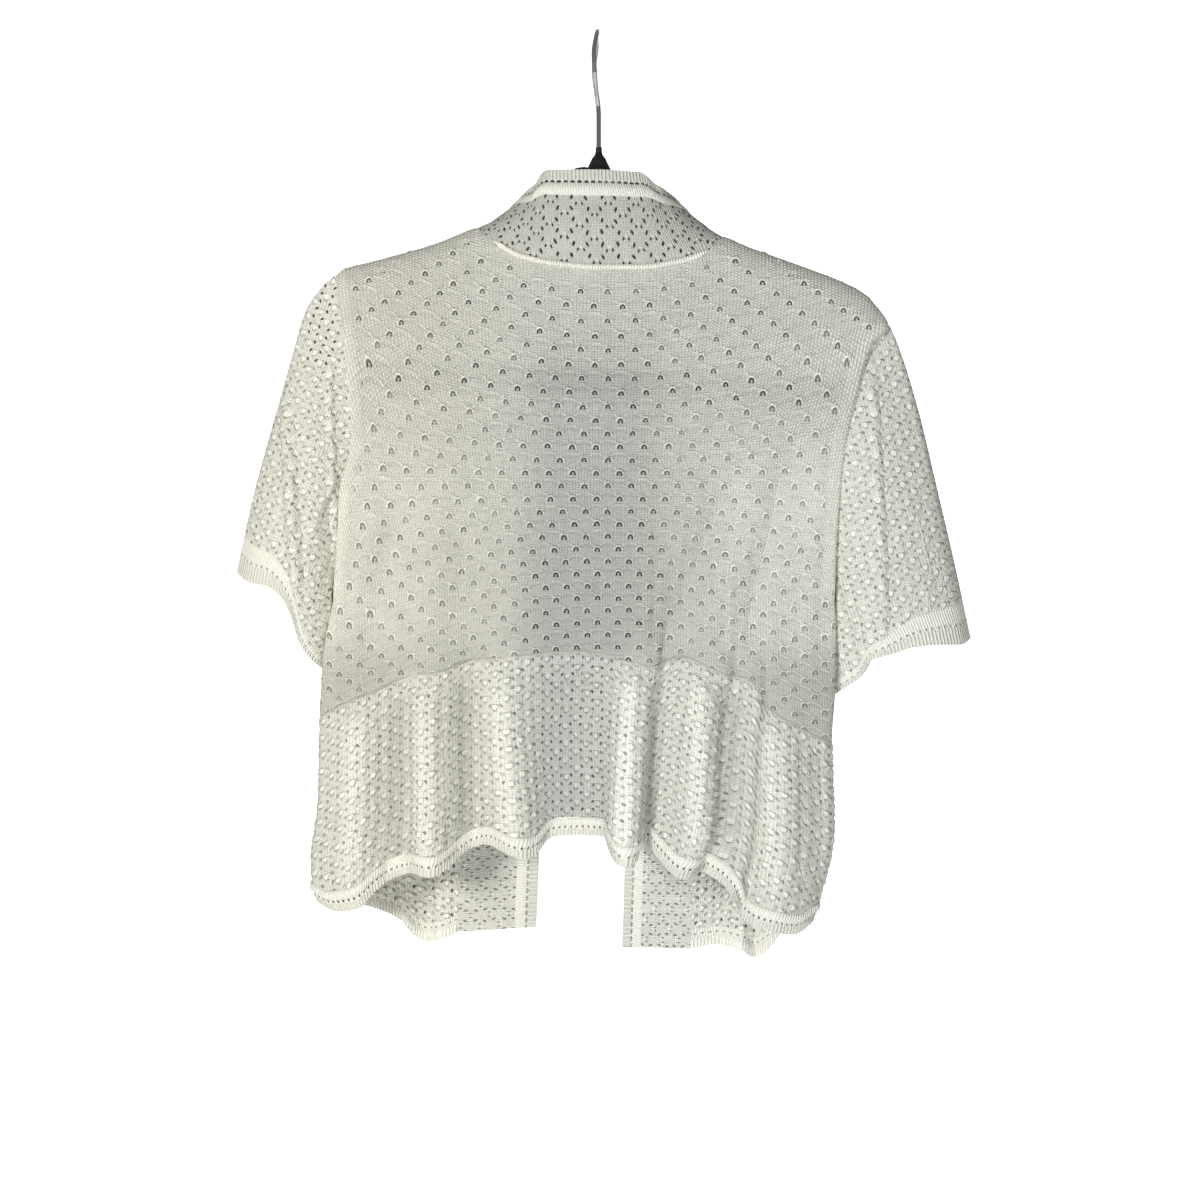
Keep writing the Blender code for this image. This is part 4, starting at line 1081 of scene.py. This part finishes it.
class BoleroSizes(bpy.types.PropertyGroup):
    """Sizes of the knit that a user would change."""

    back_spacing: bpy.props.FloatProperty(
        name="Back spacing", description="Grid spacing of the upper back, in millimetres",
        default=1.36, min=0.8, max=6.0)
    lace_spacing: bpy.props.FloatProperty(
        name="Lace spacing", description="Grid spacing of the leaf stitch, in millimetres",
        default=1.3, min=0.8, max=6.0)
    front_spacing: bpy.props.FloatProperty(
        name="Front spacing", description="Grid spacing of the upper fronts, in millimetres",
        default=1.8, min=0.8, max=6.0)
    relief: bpy.props.FloatProperty(
        name="Relief", description="Share of the stitches' full height",
        default=1.0, min=0.0, max=2.0, subtype="FACTOR")
    crease: bpy.props.FloatProperty(
        name="Creases", description="Share of the creases' full depth",
        default=1.0, min=0.0, max=2.0, subtype="FACTOR")
    eyelet: bpy.props.FloatProperty(
        name="Eyelet darkness", description="How dark the eyelets are",
        default=0.72, min=0.0, max=1.0, subtype="FACTOR")
    seam: bpy.props.FloatProperty(
        name="Seam roll", description="Radius of the rolled seams",
        default=0.0011, min=0.0004, max=0.003, unit="LENGTH", subtype="DISTANCE")


class BoleroColours(bpy.types.PropertyGroup):
    """Colours that a user would change."""

    cream: bpy.props.FloatVectorProperty(
        name="Cream", description="The yarn in plain light", subtype="COLOR", size=3,
        default=(0.80, 0.80, 0.725), min=0.0, max=1.0)
    warm: bpy.props.FloatVectorProperty(
        name="Warm cream", description="The yarn at the object's left", subtype="COLOR", size=3,
        default=(0.84, 0.83, 0.715), min=0.0, max=1.0)
    # Painted shade: the grey mixed into the back's middle, where one layer hangs alone.
    sheer_shade: bpy.props.FloatVectorProperty(
        name="Sheer", description="The yarn where one layer hangs alone", subtype="COLOR", size=3,
        default=(0.60, 0.605, 0.57), min=0.0, max=1.0)
    hole: bpy.props.FloatVectorProperty(
        name="Eyelet", description="The shade inside an eyelet", subtype="COLOR", size=3,
        default=(0.045, 0.043, 0.04), min=0.0, max=1.0)
    plastic: bpy.props.FloatVectorProperty(
        name="Plastic", description="The hanger's black", subtype="COLOR", size=3,
        default=(0.012, 0.012, 0.013), min=0.0, max=1.0)
    wire: bpy.props.FloatVectorProperty(
        name="Wire", description="The hook's plating", subtype="COLOR", size=3,
        default=(0.86, 0.86, 0.87), min=0.0, max=1.0)


def declared(piece, node, width, length, area, held_on=("hanger_body",), **more):
    """Hides the piece's CAD solid, and gives the piece back."""
    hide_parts(node)
    return piece


class BOLERO_OT_back(bpy.types.Operator):
    """Builds the back: the arch stitch above the waist, the leaf stitch below, and the hem band."""

    bl_idname = "bolero.back"
    bl_label = "Back"

    def execute(self, context):
        sizes, palette = context.scene.bolero_sizes, context.scene.bolero_colours
        share = sizes.relief

        def upper(c, r, points):
            """Arches, less the pressed seam and the creases, plus a plain ribbon along each armhole."""
            x, z = points[..., 0], points[..., 2]
            waist = np.interp(x, *WAIST)
            seam = -0.8 * bell(z - waist, 1.2)
            near = ease((z - waist - 1.0) / 5.0)
            side = np.minimum(x - column(z, LEFT_EDGE, 1), column(z, RIGHT_EDGE, 1) - x)
            ribbon = np.clip(1 - ((side - 5.0) / 5.5) ** 2, 0, 1) ** 0.5 * ease((z - UNDERARM) / 12.0)
            plain = ease((side - 9.0) / 4.0)
            arches = share * arch_relief(c, r) * near * plain
            return arches + 1.1 * ribbon + seam - sizes.crease * back_creases(x, z)

        def lower(c, r, points):
            """Leaves that start under the waist seam and grow calm in a crease."""
            x, z = points[..., 0], points[..., 2]
            waist = np.interp(x, *WAIST)
            seam = -0.8 * bell(z - waist, 1.2) + 0.5 * bell(z - waist + 3.0, 1.8)
            near = ease((waist - z - 3.0) / 4.0)
            crease = sizes.crease * back_creases(x, z)
            leaves = share * leaf_relief(c, r, LEAF_WIDE, LEAF_TALL) * near * (1 - 0.8 * ease(crease / 5.0))
            return leaves + seam - crease

        def hem(along, across, points):
            """The roll, sine ribs to the free edge, and pressed dots between them."""
            crease = sizes.crease * back_creases(points[..., 0], points[..., 2])
            ribs = 0.14 * np.sin(2 * np.pi * along * 10 / RIB_PITCH) * ease((across * 10 - 9.0) / 1.5)
            dots = 0.6 * bell((along * 10 / 4.6) % 1 - 0.5, 0.2) * bell(across * 10 - 7.8, 0.9)
            return roll_relief(across * 10 + 0.8, 2.5, 8.2) + share * ribs - dots - crease

        k = spread(0.0, 1.0, BACK_WIDE, sizes.back_spacing, 4)
        v = spread(0.0, 1.0, 338.0, sizes.back_spacing, 4)
        look = cloth_look("cream_arch_knit", palette, "arch", open_middle=True, dark=sizes.eyelet)
        piece = cloth("bolero_back_upper", back, v, k, back_arch_stitches, upper, look, False,
                      more=back_arch_maps)
        declared(piece, "back_upper", 0.43, 0.40, 0.144)
        k = spread(0.0, 1.0, BACK_WIDE, sizes.lace_spacing, 4)
        v = spread(1.0, 2.0 - HEM_SHARE, 140.0, sizes.lace_spacing, 4)
        look = cloth_look("cream_leaf_knit", palette, "leaf", open_middle=True, dark=sizes.eyelet, tone=0.9)
        piece = cloth("bolero_back_lower", back, v, k, back_leaf_stitches, lower, look, False,
                      more=fold_maps)
        declared(piece, "back_lower", 0.43, 0.18, 0.066, ("bolero_back_upper",))
        v = spread(2.0 - HEM_SHARE, 2.0, HEM_DEPTH, 1.0, 4)
        look = band_look("cream_hem_band", palette, spacing=4.6, at=7.9, half_wide=0.9, half_tall=0.85,
                         pitch=RIB_PITCH, ribs_from=9.2, dark=0.95, tone=0.9, ribbing=0.12)

        def hem_stitches(share_across, down, points):
            """The run along the hem and the depth into its band."""
            return band_run(points, (down - 2.0 + HEM_SHARE) / HEM_SHARE, HEM_DEPTH)

        piece = cloth("bolero_hem_back", back, v, k, hem_stitches, hem, look, False)
        declared(piece, "hem_back", 0.44, 0.018, 0.0076, ("bolero_back_lower",))
        return {"FINISHED"}


class BOLERO_OT_fronts(bpy.types.Operator):
    """Builds the two fronts, each with its upper part, its lower part and its hem band."""

    bl_idname = "bolero.fronts"
    bl_label = "Fronts"

    def execute(self, context):
        sizes, palette = context.scene.bolero_sizes, context.scene.bolero_colours
        share = sizes.relief
        # Painted light: the fronts' leaf stitch and hem band get tones over 1, against the shadow that the
        # back casts on them.
        arch_look = cloth_look("cream_front_arch_knit", palette, "arch", dark=sizes.eyelet)
        leaf_look = cloth_look("cream_front_leaf_knit", palette, "leaf", dark=1.0, large=1.15, tone=1.02)
        hem_look = band_look("cream_front_hem", palette, spacing=6.2, at=4.0, half_wide=1.4, half_tall=0.6,
                             pitch=RIB_PITCH, ribs_from=8.0, dark=0.6, tone=1.1)

        def arch(c, r, points):
            """The arch stitch alone."""
            return share * arch_relief(c, r)

        def leaf(c, r, points):
            """The leaf stitch alone."""
            return share * leaf_relief(c, r, LEAF_WIDE, LEAF_TALL)

        def hem(along, across, points):
            """A low roll along the band's middle, and sine ribs at its free edge."""
            ribs = 0.35 * np.sin(2 * np.pi * along * 10 / RIB_PITCH) * ease((across * 10 - 8.5) / 1.5)
            return roll_relief(across * 10 - 6.0, 0.9, 8.0) + share * ribs

        for side, word in ((-1, "left"), (1, "right")):
            table = FRONT_LEFT_FOLDS if side < 0 else FRONT_RIGHT_FOLDS

            def panel(f, v, side=side):
                """This side's front."""
                return front(side, f, v)

            def arch_stitches(f, v, points):
                """Level rows of arches, x over the unit's width."""
                x, z = points[..., 0], points[..., 2]
                counts = np.stack(((x - ARCH_MIDDLE) / FRONT_ARCH_WIDE, arch_rows(z) / 2), -1)
                return counts + 0.012 * wobble(points)

            def arch_maps(f, v, points, side=side):
                """No slant, an even unit, and the distances from the side and top edges."""
                x, z = points[..., 0], points[..., 2]
                rim = np.abs(column(z, LEFT_EDGE if side < 0 else RIGHT_EDGE, 1) - x)
                rim = rim + 30.0 * ease((UNDERARM + 10.0 - z) / 12.0)
                top = points[:1, :, 2] - z
                return {
                    "slant": np.zeros(x.shape + (2,)),
                    "unit": np.stack(
                        (np.full(x.shape, FRONT_ARCH_WIDE), 2 * column(z, ARCH_SPACING, 2)), -1) / 10,
                    "edge": np.stack((rim, top), -1) / 10,
                }

            def leaf_stitches(f, v, points, table=table):
                """The share across, and the distance down from the waist."""
                rows = (column(f, table, 1) - points[..., 2]) / LEAF_TALL - 0.4
                return np.stack((f * FRONT_WIDE / LEAF_WIDE, rows), -1) + 0.03 * wobble(points)

            def hem_stitches(f, v, points):
                """The run along the hem and the depth into its band."""
                return band_run(points, (v - 2.0 + HEM_SHARE) / HEM_SHARE, HEM_DEPTH)

            outward = side < 0
            f = spread(0.0, 1.0, FRONT_WIDE, sizes.front_spacing, 2)
            v = spread(0.0, 1.0, 385.0, sizes.front_spacing, 2)
            piece = cloth(f"bolero_front_upper_{word}", panel, v, f, arch_stitches, arch, arch_look,
                          outward, skip=2, more=arch_maps)
            declared(piece, f"front_upper_{word}", 0.14, 0.42, 0.047)
            f = spread(0.0, 1.0, FRONT_WIDE, sizes.lace_spacing, 1)
            v = spread(1.0, 2.0 - HEM_SHARE, 138.0, sizes.lace_spacing, 1)
            piece = cloth(f"bolero_front_lower_{word}", panel, v, f, leaf_stitches, leaf, leaf_look,
                          outward, skip=1, under=leaf)
            declared(piece, f"front_lower_{word}", 0.13, 0.16, 0.0165, (f"bolero_front_upper_{word}",))
            v = spread(2.0 - HEM_SHARE, 2.0, HEM_DEPTH, 1.1, 1)
            piece = cloth(f"bolero_hem_front_{word}", panel, v, f, hem_stitches, hem, hem_look,
                          outward, skip=1, under=hem)
            declared(piece, f"hem_front_{word}", 0.13, 0.018, 0.0021, (f"bolero_front_lower_{word}",))
        return {"FINISHED"}


class BOLERO_OT_sleeves(bpy.types.Operator):
    """Builds both sleeves in the leaf stitch, each with its ribbed cuff."""

    bl_idname = "bolero.sleeves"
    bl_label = "Sleeves"

    def execute(self, context):
        sizes, palette = context.scene.bolero_sizes, context.scene.bolero_colours
        share = sizes.relief
        look = cloth_look("cream_sleeve_knit", palette, "leaf", dark=sizes.eyelet, tone=0.97)
        cuff_look = band_look("cream_cuff_band", palette, spacing=5.4, at=9.6, half_wide=1.0, half_tall=0.8,
                              pitch=RIB_PITCH, ribs_from=10.8, dark=0.6, tone=0.92)

        def creases(points):
            """The creases' depth, on the back half of the sleeve alone."""
            face = ease((3.0 - points[..., 1]) / 6.0)
            return sizes.crease * streaks(points[..., 0], points[..., 2], SLEEVE_CREASES) * face

        def leaf(c, r, points):
            """Leaves that grow calm in a crease, less the creases."""
            pressed = creases(points)
            return share * leaf_relief(c, r, LEAF_WIDE, LEAF_TALL) * (1 - 0.8 * ease(pressed / 5.0)) - pressed

        def cuff(along, across, points):
            """The roll, and sine ribs at the free edge."""
            ribs = 0.3 * np.sin(2 * np.pi * along * 10 / RIB_PITCH) * ease((across * 10 - 10.6) / 1.5)
            return roll_relief(across * 10 + 0.8, 2.0, 10.0) + share * ribs - creases(points)

        for side, word in ((-1, "left"), (1, "right")):
            # Where the leaves are counted from, and the direction that their columns run down in.
            start = (-206.0, -206.0) if side < 0 else (232.0, -233.0)
            way = (-0.344, -0.939) if side < 0 else (0.252, -0.968)

            def tube(t, w, side=side):
                """This side's sleeve."""
                return sleeve(side, t, w)

            def leaf_stitches(t, w, points, start=start, way=way):
                """Distances across and down the columns, over the unit's width and height."""
                x, z = points[..., 0] - start[0], points[..., 2] - start[1]
                across, down = x * -way[1] + z * way[0], x * way[0] + z * way[1]
                return np.stack((across / LEAF_WIDE, down / LEAF_TALL), -1) + 0.035 * wobble(points)

            def cuff_stitches(t, w, points):
                """The run round the cuff and the depth into it."""
                return band_run(points, (w - 1.0 + CUFF_SHARE) / CUFF_SHARE, CUFF_DEPTH)

            t = spread(0.0, 1.0, 520.0, 1.5, 4)
            w = spread(0.0, 1.0 - CUFF_SHARE, 120.0, 1.4, 4)
            piece = cloth(f"bolero_sleeve_{word}", tube, w, t, leaf_stitches, leaf, look,
                          side < 0, loops=True)
            declared(piece, f"sleeve_{word}", 0.52, 0.16, 0.047, ("bolero_back_upper",))
            w = spread(1.0 - CUFF_SHARE, 1.0, 22.0, 1.1, 4)
            t = spread(0.0, 1.0, 300.0, 1.1, 4)
            piece = cloth(f"bolero_cuff_{word}", tube, w, t, cuff_stitches, cuff, cuff_look,
                          side < 0, loops=True)
            declared(piece, f"cuff_{word}", 0.26, 0.026, 0.0056, (f"bolero_sleeve_{word}",))
        return {"FINISHED"}


class BOLERO_OT_band(bpy.types.Operator):
    """Builds the band round the neck and down both fronts: its lace, then its roll and ribs."""

    bl_idname = "bolero.band"
    bl_label = "Front band"

    def execute(self, context):
        sizes, palette = context.scene.bolero_sizes, context.scene.bolero_colours
        share = sizes.relief
        tall, neck_reach = 64.0, 110.0

        def lace(c, r, points):
            """The lace alone."""
            return share * lace_relief(c, r, LACE_WIDE, LACE_TALL)

        def rib(along, across, points):
            """The roll, taller behind the neck, and sine ribs at the free edge."""
            ribs = 0.35 * np.sin(2 * np.pi * along * 10 / COLLAR_RIB_PITCH) * ease((across * 10 - 10.4) / 1.5)
            tall_roll = 2.2 * (1 - 0.75 * ease((np.abs(along * 10) - 52.0) / 30.0))
            return tall_roll * roll_relief(across * 10 + 0.4, 1.0, 9.0) + share * ribs

        def lace_stitches(s, c, points):
            """The distance along the seam, in wide units at the neck and narrow ones down the fronts."""
            beyond = np.clip(np.abs(s) - neck_reach, 0, None)
            units = np.minimum(np.abs(s), neck_reach) / LACE_WIDE + beyond / FRONT_LACE_WIDE
            units = np.sign(s) * units
            return np.stack((units + 0.12, 0.3 - c * tall / LACE_TALL), -1) + 0.02 * wobble(points)

        def rib_stitches(s, c, points):
            """The distances along and across, in tens of millimetres."""
            return np.stack((s / 10.0, (c - LACE_SHARE) * tall / 10), -1)

        s = spread(SEAM_RUN[0], SEAM_RUN[-1], SEAM_RUN[-1] - SEAM_RUN[0], 1.5, 1)
        # Painted shade: the lace's tone under 1 stands for the dark that shows through it.
        look = cloth_look("cream_band_lace", palette, "lace", (LACE_WIDE, LACE_TALL), dark=1.3, tone=0.86)
        piece = cloth("bolero_band_lace", band, spread(-0.02, LACE_SHARE, 44.0, 1.4, 1), s, lace_stitches,
                      lace, look, True, skip=1, steps=(0.5, 0.01), under=lace)
        declared(piece, "collar_lace", 1.36, 0.048, 0.060, ("bolero_back_upper",))
        s = spread(SEAM_RUN[0], SEAM_RUN[-1], SEAM_RUN[-1] - SEAM_RUN[0], 1.2, 1)
        look = band_look("cream_band_rib", palette, spacing=6.0, at=9.4, half_wide=2.1, half_tall=0.95,
                         pitch=COLLAR_RIB_PITCH, ribs_from=10.4, dark=1.25, tone=0.86, fade=0.5)
        piece = cloth("bolero_band_rib", band, spread(LACE_SHARE, 1.0, 18.0, 1.0, 1), s, rib_stitches,
                      rib, look, True, skip=1, steps=(0.5, 0.01), under=rib)
        declared(piece, "collar_rib", 1.36, 0.022, 0.024, ("bolero_band_lace",))
        return {"FINISHED"}


class BOLERO_OT_seams(bpy.types.Operator):
    """Builds the rolled seams of the neck, the waist, the shoulders and the armholes."""

    bl_idname = "bolero.seams"
    bl_label = "Seams"

    def execute(self, context):
        sizes, palette = context.scene.bolero_sizes, context.scene.bolero_colours
        look = thread_look("cream_seam_thread", palette)
        radius = sizes.seam / MM
        count, ridge_count = 500, 160
        out = np.array((0.0, -1.0, 0.0))
        waist = back(np.linspace(0.004, 0.996, count), np.ones(count)) + out * 0.6
        neck = back(np.linspace(NECK_LEFT + 0.03, NECK_RIGHT - 0.03, count), np.full(count, 0.004))
        neck = neck + np.array((0.0, -1.3, 0.6))
        grey = thread_look("grey_seam_thread", palette, 0.6)
        rows = [
            ("bolero_waist_seam", waist, radius * 0.5, False, grey),
            ("bolero_neck_seam", neck, radius * 2.3, False, look),
        ]
        for side, word in ((-1, "left"), (1, "right")):
            turn = np.linspace(0, 1, count, endpoint=False)
            rim = sleeve(side, turn, np.zeros(count)) - np.array((side * 0.8, 0.0, 0.0))
            rim = rim + unit(rim - rim.mean(axis=0)) * np.array((0.0, 1.0, 0.2)) * 0.9
            rows.append((f"bolero_armhole_seam_{word}", rim, radius * 0.9, True, look))
            share = np.linspace(0.01, 0.985, ridge_count)
            k = share * NECK_LEFT if side < 0 else 1 - share * (1 - NECK_RIGHT)
            ridge = back(k, np.zeros(ridge_count)) + np.array((0.0, 0.0, 0.3))
            rows.append((f"bolero_shoulder_seam_{word}", ridge, radius * 0.9, False, look))
        for name, line, thick, closed, finish in rows:
            mesh = tube_mesh(name, line, thick, 10, closed, TWIST_PITCH)
            mesh.materials.append(finish)
            finished(name, mesh)
        return {"FINISHED"}


class BOLERO_OT_hanger(bpy.types.Operator):
    """Gives the hanger and its hook their finishes."""

    bl_idname = "bolero.hanger"
    bl_label = "Hanger"

    def execute(self, context):
        palette = context.scene.bolero_colours
        for node, look in (
            ("hanger_body", plastic_look("black_moulded_plastic", palette.plastic)),
            ("hanger_hook", chrome_look("bright_chrome", palette.wire)),
        ):
            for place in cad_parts[node].material_slots:
                place.material = look
        return {"FINISHED"}


class BOLERO_OT_stage(bpy.types.Operator):
    """Builds the pale seamless floor and backdrop, the soft lights and the camera."""

    bl_idname = "bolero.stage"
    bl_label = "Stage"

    def execute(self, context):
        scene = context.scene
        # The floor runs back from behind the camera and bends up into the backdrop in a quarter circle.
        turn = np.linspace(0, np.pi / 2, 24)
        floor, wall, bend = -1.6, 3.2, 1.0
        depth = np.concatenate(((-4.0,), wall - bend + bend * np.sin(turn), (wall,)))
        height = np.concatenate(((floor,), floor + bend - bend * np.cos(turn), (4.0,)))
        across = np.array((-5.0, 5.0))
        points = np.stack(np.broadcast_arrays(across[None, :], depth[:, None], height[:, None]), -1)
        i = np.arange(len(depth) - 1)
        quads = np.stack((i * 2, i * 2 + 1, i * 2 + 3, i * 2 + 2), -1)
        mesh = bpy.data.meshes.new("seamless_backdrop")
        mesh.from_pydata(points.reshape(-1, 3).tolist(), [], quads.tolist())
        mesh.polygons.foreach_set("use_smooth", np.ones(len(mesh.polygons), bool))
        look = Look("pale_backdrop", Roughness=0.95, Specular_IOR_Level=0.0, Emission_Strength=0.98)
        look.feed("Base Color", look.mix(look.noise(0.7), (0.90, 0.90, 0.90, 1.0), (0.93, 0.93, 0.93, 1.0)))
        x, y, z = look.place()
        lit = abs(x).between(1950.0, 1600.0) * (z + 450.0).between(1950.0, 1600.0) * y.between(0.0, 1600.0)
        look.feed("Emission Color", look.mix(lit, (0.08, 0.08, 0.08, 1.0), (1.0, 1.0, 1.0, 1.0)))
        mesh.materials.append(look.material)
        backdrop = bpy.data.objects.new("seamless_backdrop", mesh)
        scene.collection.objects.link(backdrop)
        for name, place, aim, size, power, tint in (
            ("key_light", (-1.35, -2.2, 0.0), (0.0, 0.0, -0.45), 0.7, 54.0, (1.0, 0.995, 0.98)),
            ("fill_light", (1.1, -1.9, -1.45), (0.0, 0.0, -0.5), 1.4, 34.0, (0.98, 0.99, 1.0)),
        ):
            data = bpy.data.lights.new(name, "AREA")
            data.energy, data.size, data.color = power, size, tint
            light = bpy.data.objects.new(name, data)
            scene.collection.objects.link(light)
            light.location = place
            light.rotation_euler = (Vector(aim) - Vector(place)).to_track_quat("-Z", "Y").to_euler()
        world = bpy.data.worlds.new("soft_studio")
        world.use_nodes = True
        world.node_tree.nodes["Background"].inputs["Color"].default_value = (1.0, 1.0, 1.0, 1.0)
        world.node_tree.nodes["Background"].inputs["Strength"].default_value = 0.16
        scene.world = world
        lens = bpy.data.cameras.new("camera")
        distance, half_field = 1.55, 0.48
        lens.angle = 2 * math.atan(half_field / distance)
        lens.clip_start, lens.clip_end = 0.05, 40.0
        camera = bpy.data.objects.new("camera", lens)
        scene.collection.objects.link(camera)
        camera.location = (0.0016, -distance, -0.452)
        camera.rotation_euler = (math.radians(90), 0.0, 0.0)
        scene.camera = camera
        scene.view_settings.view_transform = "Standard"
        return {"FINISHED"}


class BOLERO_PT_panel(bpy.types.Panel):
    """Lists the bolero's sizes, colours and builders in the 3D view's sidebar."""

    bl_idname = "BOLERO_PT_panel"
    bl_label = "Bolero"
    bl_space_type = "VIEW_3D"
    bl_region_type = "UI"
    bl_category = "Bolero"

    def draw(self, context):
        """Lists every setting, then a button for each builder."""
        for group in (context.scene.bolero_sizes, context.scene.bolero_colours):
            box = self.layout.box()
            for name in group.bl_rna.properties.keys():
                if name not in ("rna_type", "name"):
                    box.prop(group, name)
        for operator in OPERATORS:
            self.layout.operator(operator.bl_idname)


OPERATORS = (
    BOLERO_OT_stage, BOLERO_OT_back, BOLERO_OT_fronts, BOLERO_OT_sleeves, BOLERO_OT_band,
    BOLERO_OT_seams, BOLERO_OT_hanger,
)
CLASSES = (BoleroSizes, BoleroColours, *OPERATORS, BOLERO_PT_panel)


def register():
    """Makes the classes and their settings known."""
    for item in CLASSES:
        bpy.utils.register_class(item)
    bpy.types.Scene.bolero_sizes = bpy.props.PointerProperty(type=BoleroSizes)
    bpy.types.Scene.bolero_colours = bpy.props.PointerProperty(type=BoleroColours)


def unregister():
    """Takes the classes and their settings away again."""
    del bpy.types.Scene.bolero_colours
    del bpy.types.Scene.bolero_sizes
    for item in reversed(CLASSES):
        bpy.utils.unregister_class(item)


def main():
    register()
    bpy.ops.bolero.stage()
    bpy.ops.bolero.back()
    bpy.ops.bolero.fronts()
    bpy.ops.bolero.sleeves()
    bpy.ops.bolero.band()
    bpy.ops.bolero.seams()
    bpy.ops.bolero.hanger()


if __name__ == "__main__":
    main()
